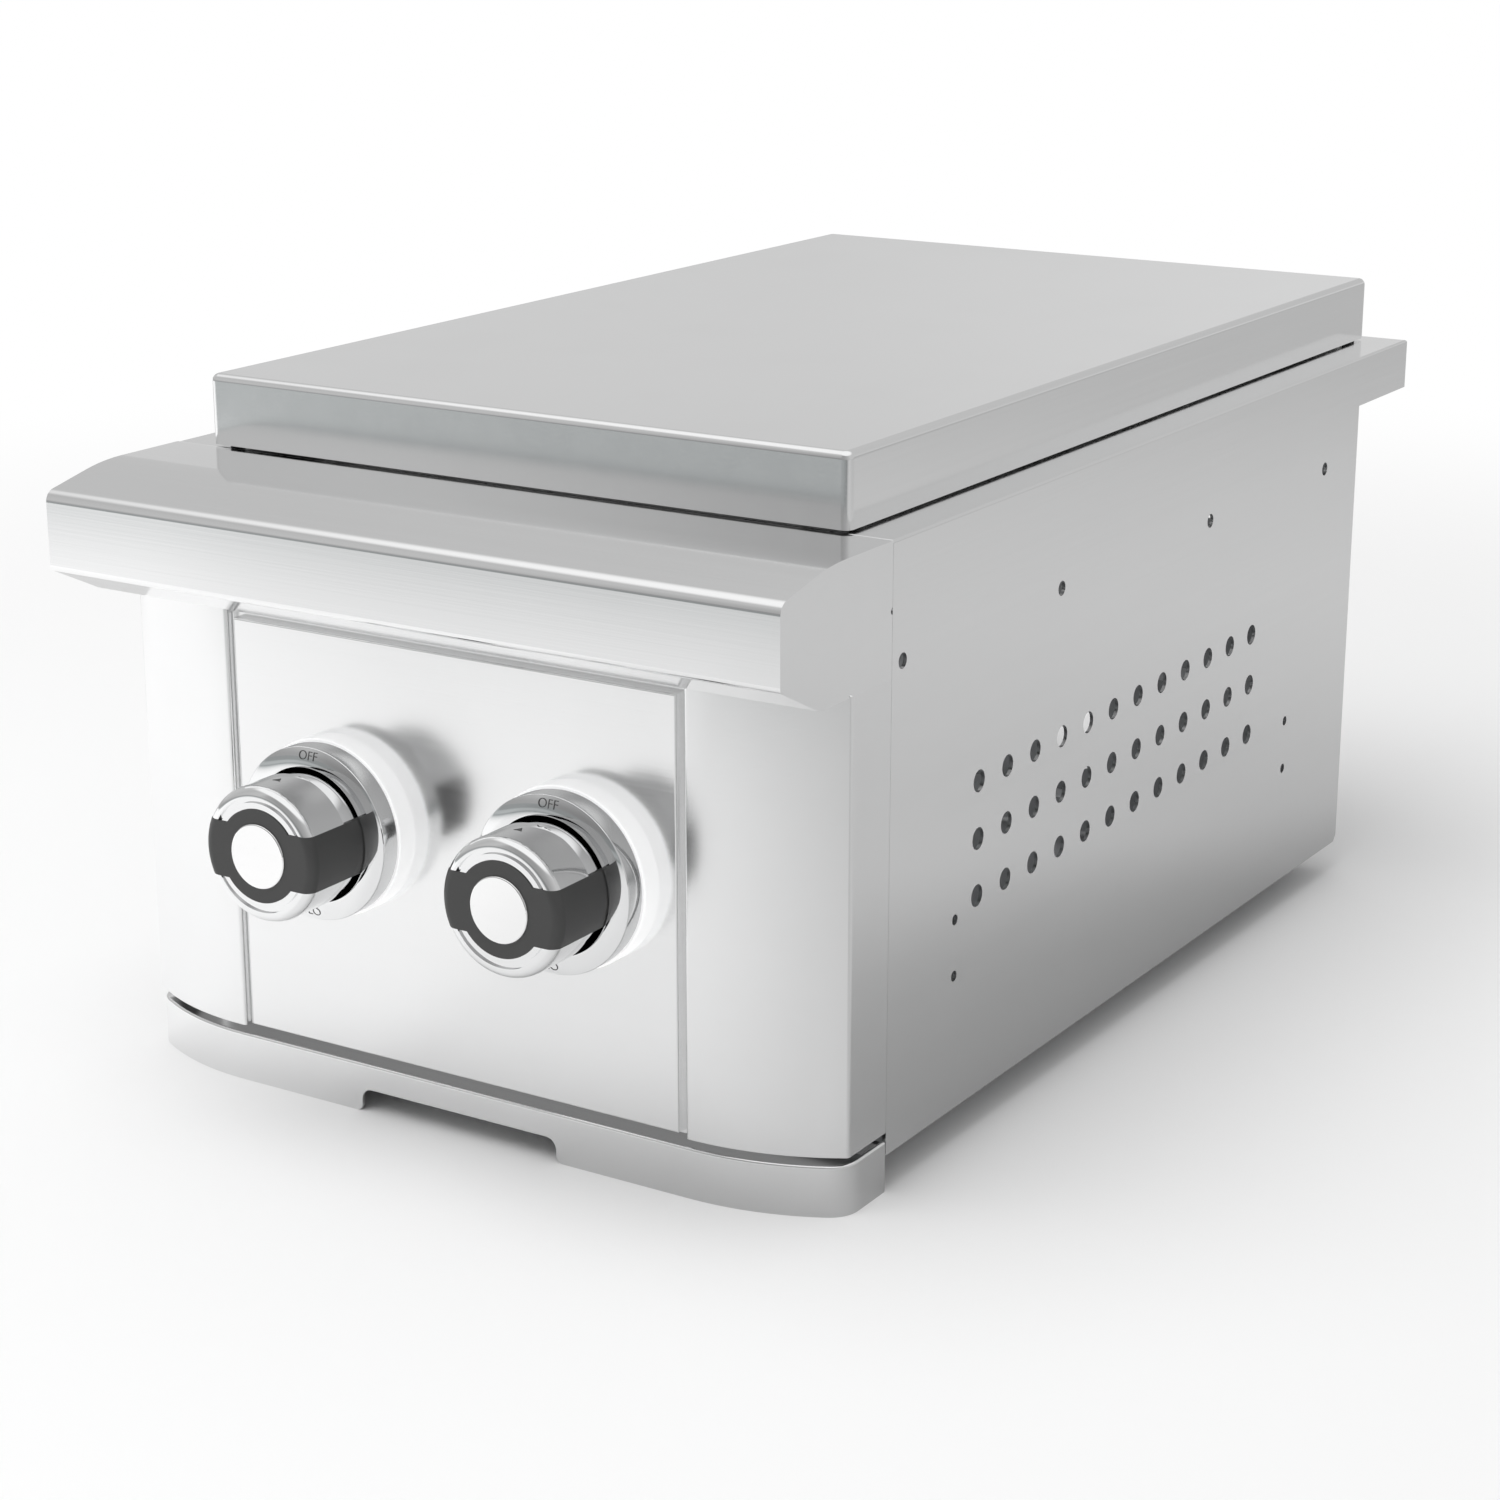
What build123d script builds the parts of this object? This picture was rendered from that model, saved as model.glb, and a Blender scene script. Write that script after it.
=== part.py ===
from build123d import *
import os
from math import cos, radians, sin, sqrt, tan

os.makedirs("parts", exist_ok=True)

# Double side burner for an outdoor kitchen: two gas burners, one behind the other, in a
# folded sheet casing that slides into a counter, with a lift-off lid over them.
# X runs to the right of someone who faces the knobs, Y to the rear and Z up.
# The origin lies on the surface that the burner stands on, under the middle of its outline.
# Depths are counted from the seam between hood and frame, heights down from the frame's top.

# Casing
overall_width = 343.0
frame_depth = 511.0
rear_overhang = 59.3
case_height = 242.5
apron_drop = 15.0
sheet = 1.5
thin_sheet = 1.0
seam_gap = 0.1
edge_radius = 1.2
corner_chamfer = 3.0
overrun = 5.0
sliding_gap = 0.3
fixed_gap = 0.05

# Hob frame
well_margin = 39.5
well_setback = 20.0
well_rear_margin = 7.7
well_corner = 14.0
well_lip = 8.0
front_lip = 12.0
rear_skirt = 23.3
rear_return = 22.0

# Lid
lid_margin = 18.8
lid_setback = 9.7
lid_height = 29.3
lid_sheet = 1.2
lid_corner = 3.5
lid_edge_radius = 3.0
lid_hem = 7.0
bumper_height = 1.0
bumper_radius = 3.0
bumper_inset = 12.0

# Front hood
hood_crease = 45.0
hood_crease_radius = 100.0
hood_reach = 78.5
hood_nose_drop = 7.4
hood_nose_radius = 5.0
hood_face_bottom = 38.9
hood_chin_radius = 3.0
hood_chin_reach = 51.4
hood_depth = 52.1
hood_return = 30.0
relief_radius = 1.3
relief_drop = 26.4

# Curved front below the hood
panel_reach = 45.0
panel_half_width = 105.9
panel_top = 57.1
panel_raise = 10.8
panel_flange = 4.0
panel_edge_radius = 0.7
groove_half_width = 109.3
wing_reach = 45.4
wing_raise = 9.6
wing_foot = 16.0
wing_bend_radius = 1.6
sweep_start = 111.5
sweep_reach = 27.0
wing_corner_radius = 2.0
apron_corner_radius = 13.0
lap_width = 16.0
lap_overlap = 4.0

# Holes in the side panels
vent_radius = 4.6
vent_columns = 12
vent_rows = 3
vent_pitch = 23.9
vent_row_pitch = 23.75
vent_centre_depth = 201.9
vent_centre_drop = 133.85
mount_hole_radius = 3.1
mount_hole_drop = 47.0
mount_hole_pitch = 130.0
mount_hole_front = 73.0
mount_hole_rear = 104.7
brace_hole_radius = 2.2
brace_hole_pitch = 23.5
brace_hole_below = 40.2
brace_front = 52.6
brace_rear = 73.5

# Walls and braces inside the casing
front_wall_setback = 4.0
front_wall_raise = 20.5
wall_flange = 12.0
brace_width = 26.0
brace_below = 14.2
brace_lip = 8.0
brace_tab = 44.0
rear_slot_length = 60.0
rear_slot_width = 6.0
rear_slot_pitch = 16.0
rear_slot_rows = 4
rear_slot_drop = 92.0
rear_slot_spread = 90.0
rear_port_radius = 17.0
rear_port_shift = 27.0
rear_port_raise = 30.5

# Drip tray
tray_margin = 25.0
tray_front_reach = 18.0
tray_rear_gap = 21.7
tray_sheet = 1.2
tray_height = 19.5
tray_lip = 12.0
tray_corner = 10.0
tray_bend = 4.0
apron_height = 21.0
apron_hem_reach = 16.0
apron_side_gap = 0.4
notch_width = 97.0
notch_height = 10.1
notch_radius = 5.0
notch_flare = 3.0
rail_leg = 18.0
rail_height = 20.0
rail_margin = 4.5

# Burner pan
pan_clearance = 3.0
pan_drop = 36.0
pan_rim = 8.0
pan_corner = 12.0
pan_bend = 6.0
collar_height = 6.0
collar_foot_radius = 35.0
collar_top_radius = 27.0

# Burners
burner_radius = 38.0
burner_base = 4.0
port_wall = 6.0
port_height = 10.0
port_count = 24
port_width = 2.4
port_depth = 4.0
cap_radius = 42.0
cap_edge = 3.0
cap_dome = 4.0
cap_spigot_height = 4.0
cap_spigot_wall = 4.0
cap_play = 0.5
spigot_radius = 15.0
spigot_drop = 48.0
spigot_socket = 10.0
mixer_radius = 12.5
mixer_wall = 1.5
mixer_bend = 34.0
mixer_straight = 46.0
bell_radius = 17.0
bell_length = 8.0
shutter_thickness = 1.0
shutter_window_radius = 3.5
shutter_window_ring = 10.0
shutter_windows = 4

# Grates
grate_clearance = 7.0
grate_gap = 8.0
grate_corner = 20.0
grate_bar = 8.0
grate_finger = 6.0
grate_height = 9.0
grate_rise = 17.0
grate_open_radius = 22.0
grate_leg = 9.0
grate_fingers = 8
grate_leg_inset = 6.0
grate_edge = 1.0

# Igniters
electrode_offset = 51.0
electrode_angle = 22.5
electrode_radius = 3.0
electrode_above = 16.0
electrode_below = 14.0
electrode_flange_radius = 6.5
electrode_flange = 2.5
tip_radius = 0.8
tip_rise = 5.0
tip_reach = 7.0
tip_bend = 1.8

# Gas supply
knob_raise = 108.7
knob_spacing = 115.2
controls_shift = 4.0
manifold_side = 19.0
manifold_wall = 2.0
manifold_below = 32.2
manifold_setback = 16.0
manifold_overhang = 10.0
manifold_right = 92.0
inlet_radius = 4.2
inlet_shoulder = 6.5
bracket_spread = 34.0
bracket_width = 14.0
bracket_height = 16.0
pipe_margin = 29.5
pipe_radius = 6.35
pipe_wall = 1.0
fitting_hex = 22.0
fitting_nut = 10.0
fitting_thread_radius = 7.9
fitting_thread = 16.0
locknut_thickness = 6.0
pipe_seat = 2.0

# Valves
valve_front = 32.0
valve_rear = 9.0
valve_width = 28.0
valve_height = 30.0
valve_corner = 3.0
bonnet_thickness = 4.0
bonnet_width = 30.0
bonnet_height = 20.0
bonnet_bore = 4.6
bonnet_screw_spread = 10.5
bonnet_screw_radius = 1.8
bonnet_screw_head = 3.2
bonnet_screw_height = 2.2
bonnet_screw_length = 12.0
plug_front_radius = 7.0
plug_rear_radius = 5.5
plug_length = 21.0
plug_socket = 15.0
plug_port_radius = 2.0
plug_port_depth = 5.0
running_fit = 0.06
orifice_radius = 4.0
orifice_length = 9.0
orifice_nose_radius = 2.4
orifice_nose = 3.0
gas_way_radius = 0.9

# Knobs
knob_standout = 52.2
knob_radius = 27.4
knob_rim_radius = 4.0
knob_face_standout = 51.0
knob_skirt_radius = 26.1
knob_skirt_front = 29.5
knob_skirt_rear = 14.5
knob_wall = 2.5
knob_face_wall = 4.0
knob_hub_radius = 7.0
cove_outer_radius = 23.0
cove_inner_radius = 21.4
cove_depth = 1.0
grip_half_height = 11.3
grip_ring_radius = 18.9
grip_thickness = 1.2
grip_proud = 0.5
grip_rear = 17.0
button_radius = 13.1
button_seat = 2.0
button_edge = 0.6
knob_travel = 3.0
stem_radius = 3.0
stem_flat = 2.2
stem_front = 44.0
stem_hole_radius = 12.0

# Bezels, each on a translucent ring and lined with a dark cup
light_ring_radius = 36.5
light_ring_height = 9.5
bezel_face_radius = 35.6
bezel_height = 18.8
bezel_opening = 28.3
bezel_face_wall = 2.0
bezel_wall = 2.2
bezel_edge = 0.6
liner_wall = 1.0

# Where the main datums lie
knob_reach = panel_reach + knob_standout
seam_y = (knob_reach - frame_depth) / 2
top_z = case_height + apron_drop
half_width = overall_width / 2
inner_half = half_width - sheet
panel_y = seam_y - panel_reach
axis_z = top_z - case_height + knob_raise
manifold_z = axis_z - manifold_below
brace_z = axis_z - brace_below
brace_hole_z = axis_z - brace_hole_below
knob_x = {"left": controls_shift - knob_spacing / 2, "right": controls_shift + knob_spacing / 2}
casing_depth = frame_depth - rear_overhang
well_width = overall_width - 2 * well_margin
well_depth = casing_depth - well_setback - well_rear_margin
well_mid_y = seam_y + well_setback + well_depth / 2
grate_width = well_width - 2 * grate_clearance
grate_depth = (well_depth - 3 * grate_gap) / 2
burner_spacing = grate_depth + grate_gap
burner_y = {"front": well_mid_y - burner_spacing / 2, "rear": well_mid_y + burner_spacing / 2}
pipe_offset = half_width - pipe_margin
wing_bottom = case_height - wing_raise
panel_bottom = case_height - panel_raise
brace_depths = (brace_front, casing_depth - brace_rear)


def save(piece, name):
    piece.part.label = name
    export_step(piece.part, f"parts/{name}.step")


# Hob frame: a plate round the burner well, with lips turned down and a boxed rear flange

frame_mid_y = seam_y + frame_depth / 2
rear_y = seam_y + frame_depth

with BuildPart() as top_frame:
    with BuildSketch(Plane.XY.offset(top_z - sheet)):
        with Locations((0, frame_mid_y)):
            Rectangle(overall_width, frame_depth)
    extrude(amount=sheet)
    with BuildSketch(Plane.XY.offset(top_z - well_lip)):
        with Locations((0, well_mid_y)):
            RectangleRounded(well_width + 2 * sheet, well_depth + 2 * sheet, well_corner + sheet)
    extrude(amount=well_lip)
    with BuildSketch(Plane.XY.offset(top_z - well_lip)):
        with Locations((0, well_mid_y)):
            RectangleRounded(well_width, well_depth, well_corner)
    extrude(amount=well_lip, mode=Mode.SUBTRACT)
    with BuildSketch(Plane.XY.offset(top_z - front_lip)):
        with Locations((0, seam_y + sheet / 2)):
            Rectangle(2 * (inner_half - sheet), sheet)
    extrude(amount=front_lip)
    with BuildSketch(Plane.XY.offset(top_z - rear_skirt)):
        with Locations((0, rear_y - sheet / 2)):
            Rectangle(overall_width, sheet)
    extrude(amount=rear_skirt)
    with BuildSketch(Plane.XY.offset(top_z - rear_skirt)):
        with Locations((0, rear_y - rear_return / 2)):
            Rectangle(2 * inner_half, rear_return)
    extrude(amount=sheet)
    fillet(top_frame.faces().sort_by(Axis.Z)[-1].outer_wire().edges(), edge_radius)
save(top_frame, "top_frame")

# Lid: a deep folded cover with a hem, on four rubber bumpers

lid_width = overall_width - 2 * lid_margin
lid_depth = frame_depth - lid_setback
lid_z = top_z + bumper_height
lid_mid_y = seam_y + lid_depth / 2

with BuildPart() as lid:
    with BuildSketch(Plane.XY.offset(lid_z)):
        with Locations((0, lid_mid_y)):
            RectangleRounded(lid_width, lid_depth, lid_corner)
    extrude(amount=lid_height)
    fillet(lid.faces().sort_by(Axis.Z)[-1].edges(), lid_edge_radius)
    offset(amount=-lid_sheet, openings=lid.faces().sort_by(Axis.Z)[0])
    with BuildSketch(Plane.XY.offset(lid_z)):
        with Locations((0, lid_mid_y)):
            RectangleRounded(lid_width, lid_depth, lid_corner)
            Rectangle(lid_width - 2 * lid_hem, lid_depth - 2 * lid_hem, mode=Mode.SUBTRACT)
    extrude(amount=lid_sheet)
save(lid, "lid")

with BuildPart() as lid_bumpers:
    with BuildSketch(Plane.XY.offset(top_z)):
        with Locations((0, lid_mid_y)):
            with GridLocations(lid_width - lid_hem, lid_depth - 2 * bumper_inset, 2, 2):
                Circle(bumper_radius)
    extrude(amount=bumper_height)
save(lid_bumpers, "lid_bumpers")

# Side panels: vented, with an ear under the rear flange and a lap behind the curved front

with BuildPart() as side_panel_right:
    with BuildSketch(Plane.YZ.offset(inner_half)) as outline:
        with BuildLine():
            Polyline(
                (seam_y, top_z - sheet),
                (rear_y - sheet, top_z - sheet),
                (rear_y - sheet, top_z - rear_skirt),
                (seam_y + casing_depth, top_z - rear_skirt),
                (seam_y + casing_depth, top_z - case_height),
                (seam_y, top_z - case_height),
                close=True,
            )
        make_face()
        chamfer(outline.vertices().group_by(Axis.Y)[0].sort_by(Axis.X)[-1:], corner_chamfer)
        with Locations((seam_y + vent_centre_depth, top_z - vent_centre_drop)):
            with GridLocations(vent_pitch, vent_row_pitch, vent_columns, vent_rows):
                Circle(vent_radius, mode=Mode.SUBTRACT)
        for depth in (mount_hole_front, casing_depth - mount_hole_rear):
            with Locations((seam_y + depth, top_z - mount_hole_drop)):
                with GridLocations(mount_hole_pitch, 0, 2, 1):
                    Circle(mount_hole_radius, mode=Mode.SUBTRACT)
        for depth in brace_depths:
            with Locations((seam_y + depth, brace_hole_z)):
                with GridLocations(0, brace_hole_pitch, 1, 2):
                    Circle(brace_hole_radius, mode=Mode.SUBTRACT)
    extrude(amount=sheet)
    with BuildSketch(Plane.YZ.offset(inner_half - sheet)):
        with Locations((seam_y - lap_width + lap_overlap, top_z - sheet)):
            Rectangle(lap_width, wing_bottom - sheet, align=(Align.MIN, Align.MAX))
    extrude(amount=sheet)
save(side_panel_right, "side_panel_right")

with BuildPart() as side_panel_left:
    mirror(side_panel_right.part, about=Plane.YZ)
save(side_panel_left, "side_panel_left")

# Rear panel: closes the casing under the rear flange, slotted, with a hole for the gas pipe

with BuildPart() as rear_panel:
    with BuildSketch(Plane.XZ.offset(-(seam_y + casing_depth))):
        with Locations((0, top_z - case_height)):
            Rectangle(2 * inner_half, case_height - sheet, align=(Align.CENTER, Align.MIN))
        with Locations((0, top_z - rear_slot_drop)):
            with GridLocations(2 * rear_slot_spread, rear_slot_pitch, 2, rear_slot_rows):
                SlotOverall(rear_slot_length, rear_slot_width, mode=Mode.SUBTRACT)
        with Locations((-pipe_offset, manifold_z)):
            Circle(pipe_radius + fixed_gap, mode=Mode.SUBTRACT)
        with Locations((rear_port_shift, top_z - case_height + rear_port_raise)):
            Circle(rear_port_radius, mode=Mode.SUBTRACT)
    extrude(amount=sheet)
save(rear_panel, "rear_panel")

# Front hood: one folded sheet from the seam over the nose and back under, closed at both ends

hood_points = (
    (seam_y - seam_gap, top_z),
    (seam_y - hood_crease, top_z),
    (seam_y - hood_reach, top_z - hood_nose_drop),
    (seam_y - hood_reach, top_z - hood_face_bottom),
    (seam_y - hood_chin_reach, top_z - hood_depth),
    (seam_y - hood_return, top_z - hood_depth),
)
hood_radii = [hood_crease_radius, hood_nose_radius, hood_chin_radius, hood_chin_radius]
relief_points = (
    (seam_y - seam_gap, top_z - relief_drop),
    (seam_y - hood_return, top_z - hood_depth),
)

with BuildPart() as front_hood:
    with BuildSketch(Plane.YZ.offset(-half_width)):
        with BuildLine():
            FilletPolyline(*hood_points, radius=hood_radii)
            offset(amount=sheet, side=Side.LEFT)
        make_face()
    extrude(amount=overall_width)
    for end_x in (-half_width, inner_half):
        with BuildSketch(Plane.YZ.offset(end_x)):
            with BuildLine():
                FilletPolyline(*hood_points, radius=hood_radii)
                Polyline(hood_points[-1], (seam_y - seam_gap, top_z - hood_depth), hood_points[0])
            make_face()
        extrude(amount=sheet)
        with BuildSketch(Plane.YZ.offset(end_x)):
            with Locations(*relief_points):
                Circle(relief_radius)
        extrude(amount=sheet, mode=Mode.SUBTRACT)
save(front_hood, "front_hood")

# Curved front: flat in the middle, swept back to each side, with a rounded corner

sweep_run = half_width - wing_corner_radius - sweep_start
sweep_fall = wing_reach - sweep_reach
sweep_squares = sweep_fall ** 2 + sweep_run ** 2 - wing_corner_radius ** 2
sweep_radius = sweep_squares / (2 * (sweep_fall - wing_corner_radius))
sweep_mid_y = seam_y - wing_reach + sweep_radius
wing_start = (sweep_start, seam_y - wing_reach)


def sweep_end(corner):
    run = half_width - corner - sweep_start
    rise = sqrt((sweep_radius - corner) ** 2 - run ** 2)
    stretch = sweep_radius / (sweep_radius - corner)
    turn = (sweep_start + run * stretch, sweep_mid_y - rise * stretch)
    return turn, (half_width, sweep_mid_y - rise)


wing_corner, wing_side = sweep_end(wing_corner_radius)
foot_y = seam_y - panel_reach + panel_flange
foot_x = groove_half_width - wing_foot

with BuildPart() as wing_right:
    with BuildSketch(Plane.XY.offset(top_z - wing_bottom)):
        with BuildLine():
            FilletPolyline(
                (foot_x, foot_y),
                (groove_half_width, foot_y),
                (groove_half_width, seam_y - wing_reach),
                wing_start,
                radius=wing_bend_radius,
            )
            RadiusArc(wing_start, wing_corner, -sweep_radius)
            RadiusArc(wing_corner, wing_side, -wing_corner_radius)
            Line(wing_side, (half_width, seam_y - seam_gap))
            offset(amount=sheet, side=Side.LEFT)
        make_face()
    extrude(amount=wing_bottom - hood_depth)
save(wing_right, "wing_right")

with BuildPart() as wing_left:
    mirror(wing_right.part, about=Plane.YZ)
save(wing_left, "wing_left")

# Control panel: a shallow tray between the two wings, with a hole behind each knob

panel_height = panel_bottom - panel_top

with BuildPart() as control_panel:
    with BuildSketch(Plane.XZ.offset(-panel_y)):
        with Locations((0, top_z - panel_bottom)):
            Rectangle(2 * panel_half_width, panel_height, align=(Align.CENTER, Align.MIN))
    extrude(amount=-panel_flange)
    offset(amount=-sheet, openings=control_panel.faces().sort_by(Axis.Y)[-1])
    fillet(control_panel.faces().sort_by(Axis.Y)[0].edges(), panel_edge_radius)
    with BuildSketch(Plane.XZ.offset(-panel_y)):
        with Locations((knob_x["left"], axis_z), (knob_x["right"], axis_z)):
            Circle(stem_hole_radius)
    extrude(amount=-sheet, mode=Mode.SUBTRACT)
save(control_panel, "control_panel")

# Backing plate between the feet of the wings, on which the control panel lies

backing_height = wing_bottom - hood_depth

with BuildPart() as backing_plate:
    with BuildSketch(Plane.XZ.offset(-foot_y)):
        with Locations((0, top_z - wing_bottom)):
            Rectangle(2 * (foot_x - fixed_gap), backing_height, align=(Align.CENTER, Align.MIN))
        with Locations((knob_x["left"], axis_z), (knob_x["right"], axis_z)):
            Circle(stem_hole_radius, mode=Mode.SUBTRACT)
    extrude(amount=-sheet)
save(backing_plate, "backing_plate")

# Front wall of the burner box, with a flange under the frame and holes for the mixer tubes

wall_y = seam_y + front_wall_setback
front_wall_height = case_height - front_wall_raise

with BuildPart() as front_wall:
    with BuildSketch(Plane.XZ.offset(-wall_y)):
        with Locations((0, top_z - sheet)):
            Rectangle(2 * (inner_half - sheet), front_wall_height, align=(Align.CENTER, Align.MAX))
        with Locations((knob_x["left"], axis_z), (knob_x["right"], axis_z)):
            Circle(mixer_radius + fixed_gap, mode=Mode.SUBTRACT)
        with Locations((-pipe_offset, manifold_z)):
            Circle(pipe_radius + fixed_gap, mode=Mode.SUBTRACT)
    extrude(amount=-sheet)
    with BuildSketch(Plane.XY.offset(top_z - 2 * sheet)):
        with Locations((0, wall_y)):
            Rectangle(2 * (inner_half - sheet), wall_flange, align=(Align.CENTER, Align.MIN))
    extrude(amount=sheet)
    with BuildSketch(Plane.XY.offset(top_z - sheet - front_wall_height)):
        with Locations((0, wall_y)):
            Rectangle(2 * (inner_half - sheet), wall_flange, align=(Align.CENTER, Align.MIN))
    extrude(amount=sheet)
save(front_wall, "front_wall")


# Cross braces between the side panels

def make_brace(depth):
    mid_y = seam_y + depth
    with BuildPart() as brace:
        with BuildSketch(Plane.XY.offset(brace_z - sheet)):
            with Locations((0, mid_y)):
                Rectangle(2 * inner_half, brace_width)
        extrude(amount=sheet)
        with BuildSketch(Plane.XY.offset(brace_z - brace_lip)):
            with Locations((0, mid_y)):
                with GridLocations(0, brace_width - sheet, 1, 2):
                    Rectangle(2 * inner_half, sheet)
        extrude(amount=brace_lip)
        with BuildSketch(Plane.XY.offset(brace_z - brace_tab)):
            with Locations((0, mid_y)):
                with GridLocations(2 * inner_half - sheet, 0, 2, 1):
                    Rectangle(sheet, brace_width)
        extrude(amount=brace_tab)
        with BuildSketch(Plane.YZ.offset(-inner_half)):
            with Locations((mid_y, brace_hole_z)):
                with GridLocations(0, brace_hole_pitch, 1, 2):
                    Circle(brace_hole_radius)
        extrude(amount=2 * inner_half, mode=Mode.SUBTRACT)
    return brace


cross_brace_front = make_brace(brace_depths[0])
save(cross_brace_front, "cross_brace_front")
cross_brace_rear = make_brace(brace_depths[1])
save(cross_brace_rear, "cross_brace_rear")

# Drip tray with a lip all round, its curved apron and the two rails that it runs on

tray_front_y = seam_y - tray_front_reach
tray_depth = casing_depth - tray_rear_gap + tray_front_reach
tray_width = 2 * (inner_half - tray_margin)
tray_mid_y = tray_front_y + tray_depth / 2

with BuildPart() as drip_tray:
    with BuildSketch():
        with Locations((0, tray_mid_y)):
            RectangleRounded(tray_width, tray_depth, tray_corner)
    extrude(amount=tray_height)
    fillet(drip_tray.faces().sort_by(Axis.Z)[0].edges(), tray_bend)
    offset(amount=-tray_sheet, openings=drip_tray.faces().sort_by(Axis.Z)[-1])
    with BuildSketch(Plane.XY.offset(tray_height - tray_sheet)):
        with Locations((0, tray_mid_y)):
            RectangleRounded(tray_width + 2 * tray_lip, tray_depth + 2 * tray_lip, tray_corner + tray_lip)
            RectangleRounded(
                tray_width - 2 * tray_sheet,
                tray_depth - 2 * tray_sheet,
                tray_corner - tray_sheet,
                mode=Mode.SUBTRACT,
            )
    extrude(amount=tray_sheet)
save(drip_tray, "drip_tray")

hem_y = seam_y - apron_hem_reach
apron_corner, apron_side = sweep_end(apron_corner_radius)

with BuildPart() as tray_apron:
    with BuildSketch():
        with BuildLine():
            Line((0, seam_y - wing_reach), wing_start)
            RadiusArc(wing_start, apron_corner, -sweep_radius)
            RadiusArc(apron_corner, apron_side, -apron_corner_radius)
            Line(apron_side, (half_width, seam_y - apron_side_gap))
            offset(amount=sheet, side=Side.LEFT)
        make_face()
    extrude(amount=apron_height)
    with BuildSketch(Plane.XY.offset(tray_height)):
        with BuildLine():
            Line((0, seam_y - wing_reach), wing_start)
            RadiusArc(wing_start, apron_corner, -sweep_radius)
            RadiusArc(apron_corner, apron_side, -apron_corner_radius)
            Polyline(apron_side, (half_width, hem_y), (0, hem_y), (0, seam_y - wing_reach))
        make_face()
    extrude(amount=apron_height - tray_height)
    mirror(about=Plane.YZ)
    with BuildSketch(Plane.XZ.offset(-(seam_y - wing_reach - overrun))) as notch:
        with Locations((0, notch_height)):
            Rectangle(notch_width, 2 * notch_height, align=(Align.CENTER, Align.MAX))
        fillet(notch.vertices().group_by(Axis.Y)[-1], notch_radius)
    extrude(amount=-(2 * overrun), mode=Mode.SUBTRACT)
    foot_edges = tray_apron.edges().filter_by(Axis.Y).group_by(Axis.Z)[0]
    fillet(foot_edges.filter_by_position(Axis.X, -notch_width, notch_width), notch_flare)
    rim_edges = tray_apron.faces().sort_by(Axis.Z)[-1].outer_wire().edges()
    fillet(rim_edges.filter_by(lambda edge: edge.center().Y < hem_y - edge_radius), edge_radius)
save(tray_apron, "tray_apron")

rail_top = tray_height - tray_sheet - sliding_gap
rail_depth = casing_depth - sheet - 2 * rail_margin
rail_mid_y = seam_y + rail_margin + rail_depth / 2

with BuildPart() as tray_rail_right:
    with BuildSketch(Plane.XZ.offset(-(rail_mid_y - rail_depth / 2))):
        with BuildLine():
            Polyline(
                (inner_half, rail_top - sheet),
                (inner_half, rail_top + rail_height),
                (inner_half - sheet, rail_top + rail_height),
                (inner_half - sheet, rail_top),
                (inner_half - rail_leg, rail_top),
                (inner_half - rail_leg, rail_top - sheet),
                close=True,
            )
        make_face()
    extrude(amount=-rail_depth)
save(tray_rail_right, "tray_rail_right")

with BuildPart() as tray_rail_left:
    mirror(tray_rail_right.part, about=Plane.YZ)
save(tray_rail_left, "tray_rail_left")

# Burner pan: hangs in the well by its rim, with a raised collar under each burner

pan_width = well_width - 2 * pan_clearance
pan_depth = well_depth - 2 * pan_clearance
pan_floor = top_z - pan_drop
collar_z = pan_floor + thin_sheet + collar_height
electrode_x = electrode_offset * cos(radians(electrode_angle))
electrode_dy = electrode_offset * sin(radians(electrode_angle))

with BuildPart() as burner_pan:
    with BuildSketch(Plane.XY.offset(pan_floor)):
        with Locations((0, well_mid_y)):
            RectangleRounded(pan_width, pan_depth, pan_corner)
    extrude(amount=pan_drop)
    fillet(burner_pan.faces().sort_by(Axis.Z)[0].edges(), pan_bend)
    offset(amount=-thin_sheet, openings=burner_pan.faces().sort_by(Axis.Z)[-1])
    with BuildSketch(Plane.XY.offset(top_z)):
        with Locations((0, well_mid_y)):
            RectangleRounded(pan_width + 2 * pan_rim, pan_depth + 2 * pan_rim, pan_corner + pan_rim)
            RectangleRounded(pan_width - 2 * thin_sheet, pan_depth - 2 * thin_sheet, pan_corner - thin_sheet,
                             mode=Mode.SUBTRACT)
    extrude(amount=thin_sheet)
    for mid_y in burner_y.values():
        with BuildSketch(Plane.XY.offset(pan_floor)):
            with Locations((0, mid_y)):
                Circle(collar_foot_radius)
            with Locations((electrode_x, mid_y + electrode_dy)):
                Circle(electrode_radius + fixed_gap)
        extrude(amount=thin_sheet, mode=Mode.SUBTRACT)
        with BuildSketch(Plane.XZ.offset(-mid_y)):
            with BuildLine():
                Polyline(
                    (collar_foot_radius, pan_floor),
                    (collar_foot_radius, pan_floor + thin_sheet),
                    (collar_top_radius, collar_z),
                    (spigot_radius + fixed_gap, collar_z),
                    (spigot_radius + fixed_gap, collar_z - thin_sheet),
                    (collar_top_radius, collar_z - thin_sheet),
                    close=True,
                )
            make_face()
        revolve(axis=Axis((0, mid_y, 0), (0, 0, 1)))
save(burner_pan, "burner_pan")


# Burners: a cast head with notched flame ports on a socket, and a domed cap over it

wall_z = collar_z + burner_base + port_height


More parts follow.
